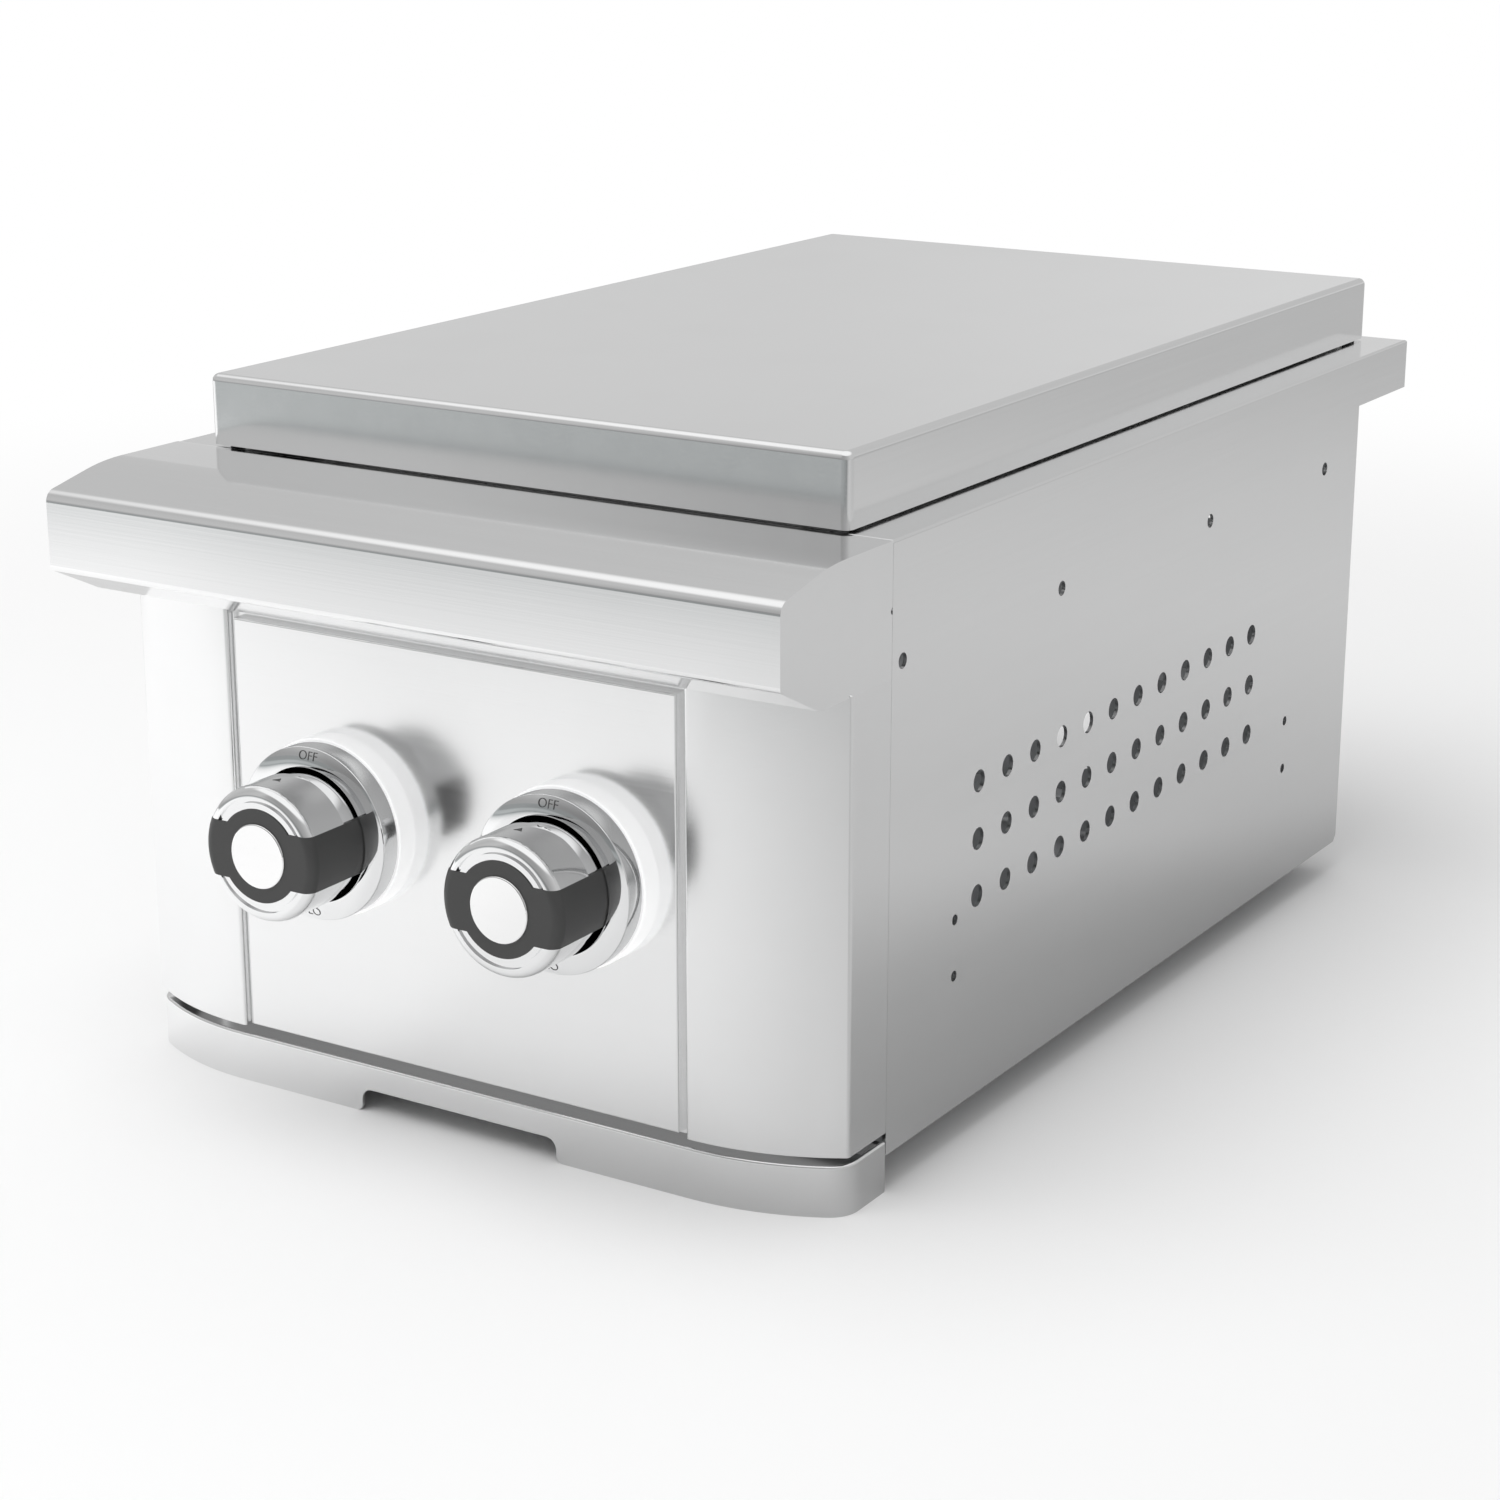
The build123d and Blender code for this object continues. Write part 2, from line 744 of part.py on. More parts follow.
def make_burner_head(mid_y):
    socket_z = top_z - spigot_drop
    bore = mixer_radius - mixer_wall
    with BuildPart() as head:
        with BuildSketch(Plane.XZ.offset(-mid_y)):
            with BuildLine():
                Polyline(
                    (bore, socket_z + spigot_socket),
                    (bore, collar_z + burner_base),
                    (burner_radius - port_wall, collar_z + burner_base),
                    (burner_radius - port_wall, wall_z),
                    (burner_radius, wall_z),
                    (burner_radius, collar_z),
                    (spigot_radius, collar_z),
                    (spigot_radius, socket_z),
                    (mixer_radius + fixed_gap, socket_z),
                    (mixer_radius + fixed_gap, socket_z + spigot_socket),
                    close=True,
                )
            make_face()
        revolve(axis=Axis((0, mid_y, 0), (0, 0, 1)))
        with BuildSketch(Plane.XY.offset(wall_z - port_depth)):
            with Locations((0, mid_y)):
                with PolarLocations(burner_radius - port_wall / 2, port_count):
                    Rectangle(2 * port_wall, port_width)
        extrude(amount=port_depth, mode=Mode.SUBTRACT)
    return head


def make_burner_cap(mid_y):
    rim_z = wall_z + cap_edge
    locator_radius = burner_radius - port_wall - cap_play
    dome_radius = (cap_radius ** 2 + cap_dome ** 2) / (2 * cap_dome)
    with BuildPart() as cap:
        with BuildSketch(Plane.XZ.offset(-mid_y)):
            with BuildLine():
                Polyline(
                    (0, rim_z + cap_dome),
                    (0, wall_z),
                    (locator_radius - cap_spigot_wall, wall_z),
                    (locator_radius - cap_spigot_wall, wall_z - cap_spigot_height),
                    (locator_radius, wall_z - cap_spigot_height),
                    (locator_radius, wall_z),
                    (cap_radius, wall_z),
                    (cap_radius, rim_z),
                )
                RadiusArc((cap_radius, rim_z), (0, rim_z + cap_dome), -dome_radius)
            make_face()
        revolve(axis=Axis((0, mid_y, 0), (0, 0, 1)))
    return cap


def make_mixer(knob_side, burner):
    mouth_y = wall_y - bell_length
    start = Vector(knob_x[knob_side], mouth_y, axis_z)
    bend = Vector(knob_x[knob_side], seam_y + mixer_straight, axis_z)
    foot = Vector(0, burner_y[burner], axis_z)
    heading = (foot - bend).normalized()
    half_turn = heading.get_angle(Vector(0, 1, 0)) / 2
    bend_length = mixer_bend * tan(radians(half_turn))
    rise_start = foot + Vector(0, 0, mixer_bend)
    with BuildPart() as mixer:
        with BuildLine():
            Line(start, bend - Vector(0, bend_length, 0))
            TangentArc(
                bend - Vector(0, bend_length, 0),
                bend + heading * bend_length,
                tangent=Vector(0, 1, 0),
            )
            Line(bend + heading * bend_length, foot - heading * mixer_bend)
            TangentArc(foot - heading * mixer_bend, rise_start, tangent=heading)
            Line(rise_start, (0, burner_y[burner], top_z - spigot_drop + spigot_socket))
        with BuildSketch(Plane.XZ.offset(-mouth_y)):
            with Locations((knob_x[knob_side], axis_z)):
                Circle(mixer_radius)
                Circle(mixer_radius - mixer_wall, mode=Mode.SUBTRACT)
        sweep()
        with BuildSketch(Plane.XZ.offset(-mouth_y)):
            with Locations((knob_x[knob_side], axis_z)):
                Circle(bell_radius)
        extrude(amount=-bell_length)
        with BuildSketch(Plane.XY.offset(axis_z)):
            with BuildLine():
                Polyline(
                    (knob_x[knob_side], mouth_y),
                    (knob_x[knob_side] + bell_radius - mixer_wall, mouth_y),
                    (knob_x[knob_side] + mixer_radius - mixer_wall, wall_y),
                    (knob_x[knob_side], wall_y),
                    close=True,
                )
            make_face()
        revolve(axis=Axis((knob_x[knob_side], 0, axis_z), (0, 1, 0)), mode=Mode.SUBTRACT)
    return mixer


def make_air_shutter(knob_side):
    with BuildPart() as shutter:
        with BuildSketch(Plane.XZ.offset(bell_length - wall_y)):
            with Locations((knob_x[knob_side], axis_z)):
                Circle(bell_radius)
                Circle(orifice_radius + fixed_gap, mode=Mode.SUBTRACT)
                with PolarLocations(shutter_window_ring, shutter_windows):
                    Circle(shutter_window_radius, mode=Mode.SUBTRACT)
        extrude(amount=shutter_thickness)
    return shutter


for burner, knob_side in (("front", "left"), ("rear", "right")):
    save(make_burner_head(burner_y[burner]), f"burner_head_{burner}")
    save(make_burner_cap(burner_y[burner]), f"burner_cap_{burner}")
    save(make_mixer(knob_side, burner), f"mixer_{burner}")
    save(make_air_shutter(knob_side), f"air_shutter_{burner}")


# Grates: a frame with fingers towards the burner, on four legs that stand in the pan

def make_grate(mid_y):
    top_face = top_z + grate_rise
    with BuildPart() as grate:
        with BuildSketch(Plane.XY.offset(top_face - grate_height)):
            with Locations((0, mid_y)):
                RectangleRounded(grate_width, grate_depth, grate_corner)
                RectangleRounded(grate_width - 2 * grate_bar, grate_depth - 2 * grate_bar,
                                 grate_corner - grate_bar, mode=Mode.SUBTRACT)
        extrude(amount=grate_height)
        chamfer(grate.faces().sort_by(Axis.Z)[-1].edges(), grate_edge)
        with BuildSketch(Plane.XY.offset(top_face - grate_height)):
            with Locations((0, mid_y)):
                with PolarLocations(grate_open_radius, grate_fingers):
                    Rectangle(grate_width, grate_finger, align=(Align.MIN, Align.CENTER))
                RectangleRounded(grate_width - grate_bar, grate_depth - grate_bar,
                                 grate_corner - grate_bar / 2, mode=Mode.INTERSECT)
        extrude(amount=grate_height - grate_edge)
        with BuildSketch(Plane.XY.offset(pan_floor + thin_sheet)):
            with Locations((0, mid_y)):
                with GridLocations(
                    grate_width - 2 * grate_leg_inset - grate_leg,
                    grate_depth - 2 * grate_leg_inset - grate_leg,
                    2,
                    2,
                ):
                    Circle(grate_leg / 2)
        extrude(amount=top_face - grate_height - pan_floor)
    return grate


# Igniters: a ceramic rod through the pan beside each burner, with a bent wire tip

rod_top = pan_floor + electrode_above


def make_electrode(mid_y):
    with BuildPart() as electrode:
        with BuildSketch(Plane.XY.offset(pan_floor - electrode_below)):
            with Locations((electrode_x, mid_y + electrode_dy)):
                Circle(electrode_radius)
        extrude(amount=electrode_above + electrode_below)
        with BuildSketch(Plane.XY.offset(pan_floor + thin_sheet)):
            with Locations((electrode_x, mid_y + electrode_dy)):
                Circle(electrode_flange_radius)
        extrude(amount=electrode_flange)
    return electrode


for burner, mid_y in burner_y.items():
    save(make_grate(mid_y), f"grate_{burner}")
    save(make_electrode(mid_y), f"electrode_{burner}")

with BuildPart() as electrode_tips:
    for mid_y in burner_y.values():
        tip_plane = Plane(
            origin=(electrode_x, mid_y + electrode_dy, rod_top),
            x_dir=(-electrode_x, -electrode_dy, 0),
            z_dir=(-electrode_dy, electrode_x, 0),
        )
        with BuildLine(tip_plane):
            FilletPolyline((0, 0), (0, tip_rise), (tip_reach, tip_rise), radius=tip_bend)
        with BuildSketch(Plane.XY.offset(rod_top)):
            with Locations((electrode_x, mid_y + electrode_dy)):
                Circle(tip_radius)
        sweep()
save(electrode_tips, "electrode_tips")

# Gas supply: a square manifold under the valves, its brackets, and the pipe to the rear inlet

manifold_y = seam_y - manifold_setback
manifold_left = pipe_offset + manifold_overhang
manifold_mid_x = (manifold_right - manifold_left) / 2

with BuildPart() as manifold:
    with BuildSketch(Plane.XZ.offset(-(manifold_y - manifold_side / 2))):
        with Locations((manifold_mid_x, manifold_z)):
            Rectangle(manifold_left + manifold_right, manifold_side)
    extrude(amount=-manifold_side)
    with BuildSketch(Plane.XZ.offset(-(manifold_y - manifold_side / 2 + manifold_wall))):
        with Locations((manifold_mid_x, manifold_z)):
            Rectangle(manifold_left + manifold_right - 2 * manifold_wall, manifold_side - 2 * manifold_wall)
    extrude(amount=-(manifold_side - 2 * manifold_wall), mode=Mode.SUBTRACT)
    with BuildSketch(Plane.XY.offset(manifold_z)):
        with Locations((knob_x["left"], manifold_y), (knob_x["right"], manifold_y)):
            Circle(inlet_radius + fixed_gap)
    extrude(amount=manifold_side, mode=Mode.SUBTRACT)
    with BuildSketch(Plane.XZ.offset(-manifold_y)):
        with Locations((-pipe_offset, manifold_z)):
            Circle(pipe_radius - pipe_wall)
    extrude(amount=-manifold_side, mode=Mode.SUBTRACT)
save(manifold, "manifold")

shelf_z = manifold_z - manifold_side / 2
bracket_outline = (
    (manifold_y - manifold_side / 2, shelf_z),
    (wall_y, shelf_z),
    (wall_y, shelf_z - bracket_height),
    (wall_y - sheet, shelf_z - bracket_height),
    (wall_y - sheet, shelf_z - sheet),
    (manifold_y - manifold_side / 2, shelf_z - sheet),
)

with BuildPart() as manifold_brackets:
    for end_x in (-bracket_spread, bracket_spread):
        with BuildSketch(Plane.YZ.offset(end_x - bracket_width / 2)):
            with BuildLine():
                Polyline(*bracket_outline, close=True)
            make_face()
        extrude(amount=bracket_width)
save(manifold_brackets, "manifold_brackets")

panel_back_y = seam_y + casing_depth
pipe_start_y = manifold_y + manifold_side / 2
pipe_end_y = panel_back_y + fitting_nut - pipe_seat

with BuildPart() as gas_pipe:
    with BuildSketch(Plane.XZ.offset(-pipe_start_y)):
        with Locations((-pipe_offset, manifold_z)):
            Circle(pipe_radius)
            Circle(pipe_radius - pipe_wall, mode=Mode.SUBTRACT)
    extrude(amount=pipe_start_y - pipe_end_y)
save(gas_pipe, "gas_pipe")

with BuildPart() as gas_inlet:
    with BuildSketch(Plane.XZ.offset(-panel_back_y)):
        with Locations((-pipe_offset, manifold_z)):
            RegularPolygon(fitting_hex / 2, 6, major_radius=False)
    extrude(amount=-fitting_nut)
    chamfer(gas_inlet.faces().sort_by(Axis.Y)[-1].edges(), edge_radius)
    with BuildSketch(Plane.XZ.offset(-(panel_back_y + fitting_nut))):
        with Locations((-pipe_offset, manifold_z)):
            Circle(fitting_thread_radius)
    extrude(amount=-fitting_thread)
    chamfer(gas_inlet.faces().sort_by(Axis.Y)[-1].edges(), edge_radius)
    with BuildSketch(Plane.XZ.offset(-panel_back_y)):
        with Locations((-pipe_offset, manifold_z)):
            Circle(pipe_radius + fixed_gap)
    extrude(amount=panel_back_y - pipe_end_y, mode=Mode.SUBTRACT)
    with BuildSketch(Plane.XZ.offset(-pipe_end_y)):
        with Locations((-pipe_offset, manifold_z)):
            Circle(pipe_radius - pipe_wall)
    extrude(amount=-(fitting_thread + pipe_seat), mode=Mode.SUBTRACT)
save(gas_inlet, "gas_inlet")

with BuildPart() as inlet_locknut:
    with BuildSketch(Plane.XZ.offset(sheet - panel_back_y)):
        with Locations((-pipe_offset, manifold_z)):
            RegularPolygon(fitting_hex / 2, 6, major_radius=False)
            Circle(pipe_radius + fixed_gap, mode=Mode.SUBTRACT)
    extrude(amount=locknut_thickness)
save(inlet_locknut, "inlet_locknut")

# Valves: body on the manifold, tapered plug that turns in it, bonnet plate with two screws

valve_y = seam_y - valve_front
bonnet_y = valve_y - bonnet_thickness
plug_clearance = 2 * running_fit
valve_back_y = seam_y - valve_rear
plug_end_y = valve_y + plug_length


def side_profile(x):
    return Plane(origin=(x, 0, axis_z), x_dir=(1, 0, 0), z_dir=(0, 0, 1))


def make_valve_body(x):
    with BuildPart() as body:
        with BuildSketch(Plane.XZ.offset(-valve_y)):
            with Locations((x, axis_z)):
                RectangleRounded(valve_width, valve_height, valve_corner)
        extrude(amount=valve_y - valve_back_y)
        with BuildSketch(Plane.XY.offset(manifold_z + manifold_side / 2)):
            with Locations((x, manifold_y)):
                Circle(inlet_shoulder)
        extrude(amount=axis_z - manifold_z - manifold_side / 2 - valve_height / 2)
        with BuildSketch(Plane.XY.offset(manifold_z + manifold_side / 2 - manifold_wall)):
            with Locations((x, manifold_y)):
                Circle(inlet_radius)
        extrude(amount=manifold_side / 2)
        with BuildSketch(side_profile(x)):
            with BuildLine():
                Polyline(
                    (0, valve_y),
                    (plug_front_radius + running_fit, valve_y),
                    (plug_rear_radius + running_fit, plug_end_y),
                    (0, plug_end_y),
                    close=True,
                )
            make_face()
        revolve(axis=Axis((x, 0, axis_z), (0, 1, 0)), mode=Mode.SUBTRACT)
        with BuildSketch(Plane.XY.offset(manifold_z)):
            with Locations((x, manifold_y)):
                Circle(plug_port_radius)
        extrude(amount=axis_z - manifold_z, mode=Mode.SUBTRACT)
        with BuildSketch(Plane.XZ.offset(-plug_end_y)):
            with Locations((x, axis_z)):
                Circle(plug_port_radius)
        extrude(amount=plug_end_y - valve_back_y, mode=Mode.SUBTRACT)
        with BuildSketch(Plane.XZ.offset(-valve_y)):
            with Locations((x, axis_z)):
                with GridLocations(2 * bonnet_screw_spread, 0, 2, 1):
                    Circle(bonnet_screw_radius + fixed_gap)
        extrude(amount=bonnet_thickness - bonnet_screw_length - fixed_gap, mode=Mode.SUBTRACT)
    return body


def make_valve_bonnet(x):
    with BuildPart() as bonnet:
        with BuildSketch(Plane.XZ.offset(-bonnet_y)):
            with Locations((x, axis_z)):
                RectangleRounded(bonnet_width, bonnet_height, valve_corner)
                Circle(bonnet_bore, mode=Mode.SUBTRACT)
                with GridLocations(2 * bonnet_screw_spread, 0, 2, 1):
                    Circle(bonnet_screw_radius + fixed_gap, mode=Mode.SUBTRACT)
        extrude(amount=-bonnet_thickness)
    return bonnet


def stem_section(radius, flat):
    Circle(radius)
    with Locations((0, flat)):
        Rectangle(2 * radius, 2 * radius, align=(Align.CENTER, Align.MIN), mode=Mode.SUBTRACT)


def make_valve_plug(x):
    with BuildPart() as plug:
        with BuildSketch(side_profile(x)):
            with BuildLine():
                Polyline(
                    (0, valve_y + plug_clearance),
                    (plug_front_radius, valve_y + plug_clearance),
                    (plug_rear_radius, plug_end_y - plug_clearance),
                    (0, plug_end_y - plug_clearance),
                    close=True,
                )
            make_face()
        revolve(axis=Axis((x, 0, axis_z), (0, 1, 0)))
        with BuildSketch(Plane.XZ.offset(-valve_y)):
            with Locations((x, axis_z)):
                stem_section(stem_radius + running_fit, stem_flat + running_fit)
        extrude(amount=-plug_socket, mode=Mode.SUBTRACT)
        with BuildSketch(Plane.XZ.offset(-plug_end_y)):
            with Locations((x, axis_z)):
                Circle(plug_port_radius)
        extrude(amount=plug_port_depth, mode=Mode.SUBTRACT)
        with BuildSketch(Plane.YZ.offset(x)):
            with Locations((manifold_y, axis_z)):
                Circle(plug_port_radius)
        extrude(amount=plug_front_radius, mode=Mode.SUBTRACT)
    return plug


def make_orifice(x):
    with BuildPart() as orifice:
        with BuildSketch(side_profile(x)):
            with BuildLine():
                Polyline(
                    (gas_way_radius, valve_back_y),
                    (orifice_radius, valve_back_y),
                    (orifice_radius, valve_back_y + orifice_length),
                    (orifice_nose_radius, valve_back_y + orifice_length + orifice_nose),
                    (gas_way_radius, valve_back_y + orifice_length + orifice_nose),
                    close=True,
                )
            make_face()
        revolve(axis=Axis((x, 0, axis_z), (0, 1, 0)))
    return orifice


# Knobs: hollow turned body, grip band with a ring, button in the middle, D-shaped stem

def grip_skin(x, gap):
    face_y = panel_y - knob_face_standout - grip_proud
    shoulder_radius = knob_radius - knob_rim_radius
    inner_radius = knob_radius - grip_thickness - gap
    with BuildPart() as skin:
        with BuildSketch(side_profile(x)):
            with BuildLine():
                Line((button_radius + fixed_gap, face_y), (shoulder_radius, face_y))
                TangentArc((shoulder_radius, face_y), (knob_radius, face_y + knob_rim_radius), tangent=(1, 0))
                Polyline(
                    (knob_radius, face_y + knob_rim_radius),
                    (knob_radius, panel_y - grip_rear + gap),
                    (inner_radius, panel_y - grip_rear + gap),
                    (inner_radius, face_y + knob_rim_radius),
                )
                TangentArc(
                    (inner_radius, face_y + knob_rim_radius),
                    (shoulder_radius, face_y + grip_thickness + gap),
                    tangent=(0, -1),
                )
                Polyline(
                    (shoulder_radius, face_y + grip_thickness + gap),
                    (button_radius + fixed_gap, face_y + grip_thickness + gap),
                    (button_radius + fixed_gap, face_y),
                )
            make_face()
        revolve(axis=Axis((x, 0, axis_z), (0, 1, 0)))
        with BuildSketch(Plane.XZ.offset(-face_y)):
            with Locations((x, axis_z)):
                Circle(grip_ring_radius + gap)
                Rectangle(2 * knob_radius, 2 * (grip_half_height + gap))
        extrude(amount=-knob_standout, mode=Mode.INTERSECT)
    return skin


def make_knob(x):
    face_y = panel_y - knob_face_standout
    pocket = grip_skin(x, fixed_gap)
    with BuildPart() as knob:
        with BuildSketch(side_profile(x)):
            with BuildLine():
                Polyline(
                    (0, face_y),
                    (cove_inner_radius, face_y),
                    (cove_inner_radius, face_y + cove_depth),
                    (cove_outer_radius, face_y + cove_depth),
                    (cove_outer_radius, face_y),
                    (knob_radius - knob_rim_radius, face_y),
                )
                TangentArc(
                    (knob_radius - knob_rim_radius, face_y),
                    (knob_radius, face_y + knob_rim_radius),
                    tangent=(1, 0),
                )
                Polyline(
                    (knob_radius, face_y + knob_rim_radius),
                    (knob_radius, panel_y - knob_skirt_front),
                    (knob_skirt_radius, panel_y - knob_skirt_front),
                    (knob_skirt_radius, panel_y - knob_skirt_rear),
                    (knob_skirt_radius - knob_wall, panel_y - knob_skirt_rear),
                    (knob_skirt_radius - knob_wall, face_y + knob_face_wall),
                    (knob_hub_radius, face_y + knob_face_wall),
                    (knob_hub_radius, panel_y - knob_skirt_rear),
                    (0, panel_y - knob_skirt_rear),
                    (0, face_y),
                )
            make_face()
        revolve(axis=Axis((x, 0, axis_z), (0, 1, 0)))
        add(pocket.part, mode=Mode.SUBTRACT)
        with BuildSketch(Plane.XZ.offset(-face_y)):
            with Locations((x, axis_z)):
                Circle(button_radius + fixed_gap)
        extrude(amount=-button_seat, mode=Mode.SUBTRACT)
        with BuildSketch(Plane.XZ.offset(-(panel_y - knob_skirt_rear))):
            with Locations((x, axis_z)):
                stem_section(stem_radius + fixed_gap, stem_flat + fixed_gap)
        extrude(amount=stem_front - knob_skirt_rear, mode=Mode.SUBTRACT)
    return knob


def make_knob_button(x):
    with BuildPart() as button:
        with BuildSketch(Plane.XZ.offset(knob_face_standout - button_seat - panel_y)):
            with Locations((x, axis_z)):
                Circle(button_radius)
        extrude(amount=knob_standout - knob_face_standout + button_seat)
        fillet(button.edges().group_by(Axis.Y)[0], button_edge)
    return button


def make_knob_stem(x):
    rear_y = valve_y + plug_socket - knob_travel - sliding_gap
    with BuildPart() as stem:
        with BuildSketch(Plane.XZ.offset(-rear_y)):
            with Locations((x, axis_z)):
                stem_section(stem_radius, stem_flat)
        extrude(amount=rear_y - panel_y + stem_front)
    return stem


def make_bezel(x):
    inner_radius = bezel_face_radius - bezel_wall
    with BuildPart() as bezel:
        with BuildSketch(side_profile(x)):
            with BuildLine():
                Polyline(
                    (inner_radius, panel_y - light_ring_height),
                    (bezel_face_radius, panel_y - light_ring_height),
                    (bezel_face_radius, panel_y - bezel_height),
                    (bezel_opening, panel_y - bezel_height),
                    (bezel_opening, panel_y - bezel_height + bezel_face_wall),
                    (inner_radius, panel_y - bezel_height + bezel_face_wall),
                    close=True,
                )
            make_face()
        revolve(axis=Axis((x, 0, axis_z), (0, 1, 0)))
        fillet(bezel.edges().filter_by(GeomType.CIRCLE).group_by(Axis.Y)[0], bezel_edge)
    return bezel


def make_light_ring(x):
    with BuildPart() as ring:
        with BuildSketch(Plane.XZ.offset(-panel_y)):
            with Locations((x, axis_z)):
                Circle(light_ring_radius)
                Circle(bezel_face_radius - bezel_wall, mode=Mode.SUBTRACT)
        extrude(amount=light_ring_height)
        fillet(ring.edges().group_by(Axis.Y)[0].sort_by(SortBy.RADIUS)[-1:], bezel_edge)
    return ring


def make_bezel_liner(x):
    outer_radius = bezel_face_radius - bezel_wall - fixed_gap
    front_y = panel_y - bezel_height + bezel_face_wall
    with BuildPart() as liner:
        with BuildSketch(side_profile(x)):
            with BuildLine():
                Polyline(
                    (stem_hole_radius, panel_y),
                    (outer_radius, panel_y),
                    (outer_radius, front_y),
                    (outer_radius - liner_wall, front_y),
                    (outer_radius - liner_wall, panel_y - liner_wall),
                    (stem_hole_radius, panel_y - liner_wall),
                    close=True,
                )
            make_face()
        revolve(axis=Axis((x, 0, axis_z), (0, 1, 0)))
    return liner


for side, x in knob_x.items():
    save(make_valve_body(x), f"valve_body_{side}")
    save(make_valve_bonnet(x), f"valve_bonnet_{side}")
    save(make_valve_plug(x), f"valve_plug_{side}")
    save(make_orifice(x), f"orifice_{side}")
    save(make_knob_stem(x), f"knob_stem_{side}")
    save(make_knob(x), f"knob_{side}")
    save(grip_skin(x, 0), f"knob_grip_{side}")
    save(make_knob_button(x), f"knob_button_{side}")
    save(make_bezel(x), f"bezel_{side}")
    save(make_light_ring(x), f"light_ring_{side}")
    save(make_bezel_liner(x), f"bezel_liner_{side}")

with BuildPart() as bonnet_screws:
    for x in knob_x.values():
        with BuildSketch(Plane.XZ.offset(-bonnet_y)):
            with Locations((x, axis_z)):
                with GridLocations(2 * bonnet_screw_spread, 0, 2, 1):
                    Circle(bonnet_screw_radius)
        extrude(amount=-bonnet_screw_length)
        with BuildSketch(Plane.XZ.offset(-bonnet_y)):
            with Locations((x, axis_z)):
                with GridLocations(2 * bonnet_screw_spread, 0, 2, 1):
                    Circle(bonnet_screw_head)
        extrude(amount=bonnet_screw_height)
save(bonnet_screws, "bonnet_screws")
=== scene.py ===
"""Looks, light and camera of a double side burner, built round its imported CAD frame."""

import logging
import math
from dataclasses import dataclass
from enum import Enum
from typing import Optional, Protocol, Union

import bpy
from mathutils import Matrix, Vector


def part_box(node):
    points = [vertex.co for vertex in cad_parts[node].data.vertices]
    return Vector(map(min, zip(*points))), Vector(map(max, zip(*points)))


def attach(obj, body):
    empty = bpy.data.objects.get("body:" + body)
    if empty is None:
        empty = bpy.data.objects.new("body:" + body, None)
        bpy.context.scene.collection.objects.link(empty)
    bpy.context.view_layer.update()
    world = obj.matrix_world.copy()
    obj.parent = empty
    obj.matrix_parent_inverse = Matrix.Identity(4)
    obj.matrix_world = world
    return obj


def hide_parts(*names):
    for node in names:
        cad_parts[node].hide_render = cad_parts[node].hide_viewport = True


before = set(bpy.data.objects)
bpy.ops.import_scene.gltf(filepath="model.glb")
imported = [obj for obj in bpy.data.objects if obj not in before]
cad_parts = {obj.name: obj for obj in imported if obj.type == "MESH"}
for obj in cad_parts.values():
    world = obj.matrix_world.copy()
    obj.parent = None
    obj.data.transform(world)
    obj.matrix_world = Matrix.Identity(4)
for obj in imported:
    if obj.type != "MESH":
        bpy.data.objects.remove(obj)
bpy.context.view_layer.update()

log = logging.getLogger("side_burner")

Number = Union[float, "Value"]
Pair = tuple[float, float]
Triple = tuple[float, float, float]
Stops = tuple[Pair, ...]

WHITE = (1.0, 1.0, 1.0)
UNSTRETCHED = (1.0, 1.0, 1.0)
RIGHT_ANGLE = math.pi / 2
RING_SIDES = 160
MERGE_DISTANCE = 0.00001
SMOOTH_ANGLE = math.radians(28)
MIX_FACTOR = 0
MIX_FIRST = 6
MIX_SECOND = 7
MIX_RESULT = 2


class Axis(Enum):
    """Direction that a grain or a turned groove follows."""

    X = 0
    Y = 1
    Z = 2


class Side(Enum):
    """Left or right control, as the name ending of its nodes."""

    LEFT = "left"
    RIGHT = "right"


class Blend(Enum):
    """How a mix joins two colours."""

    MIX = "MIX"
    MULTIPLY = "MULTIPLY"


class Ray(Enum):
    """Kind of ray that a shader can tell from the others."""

    CAMERA = "Is Camera Ray"
    GLOSSY = "Is Glossy Ray"


# Shader building


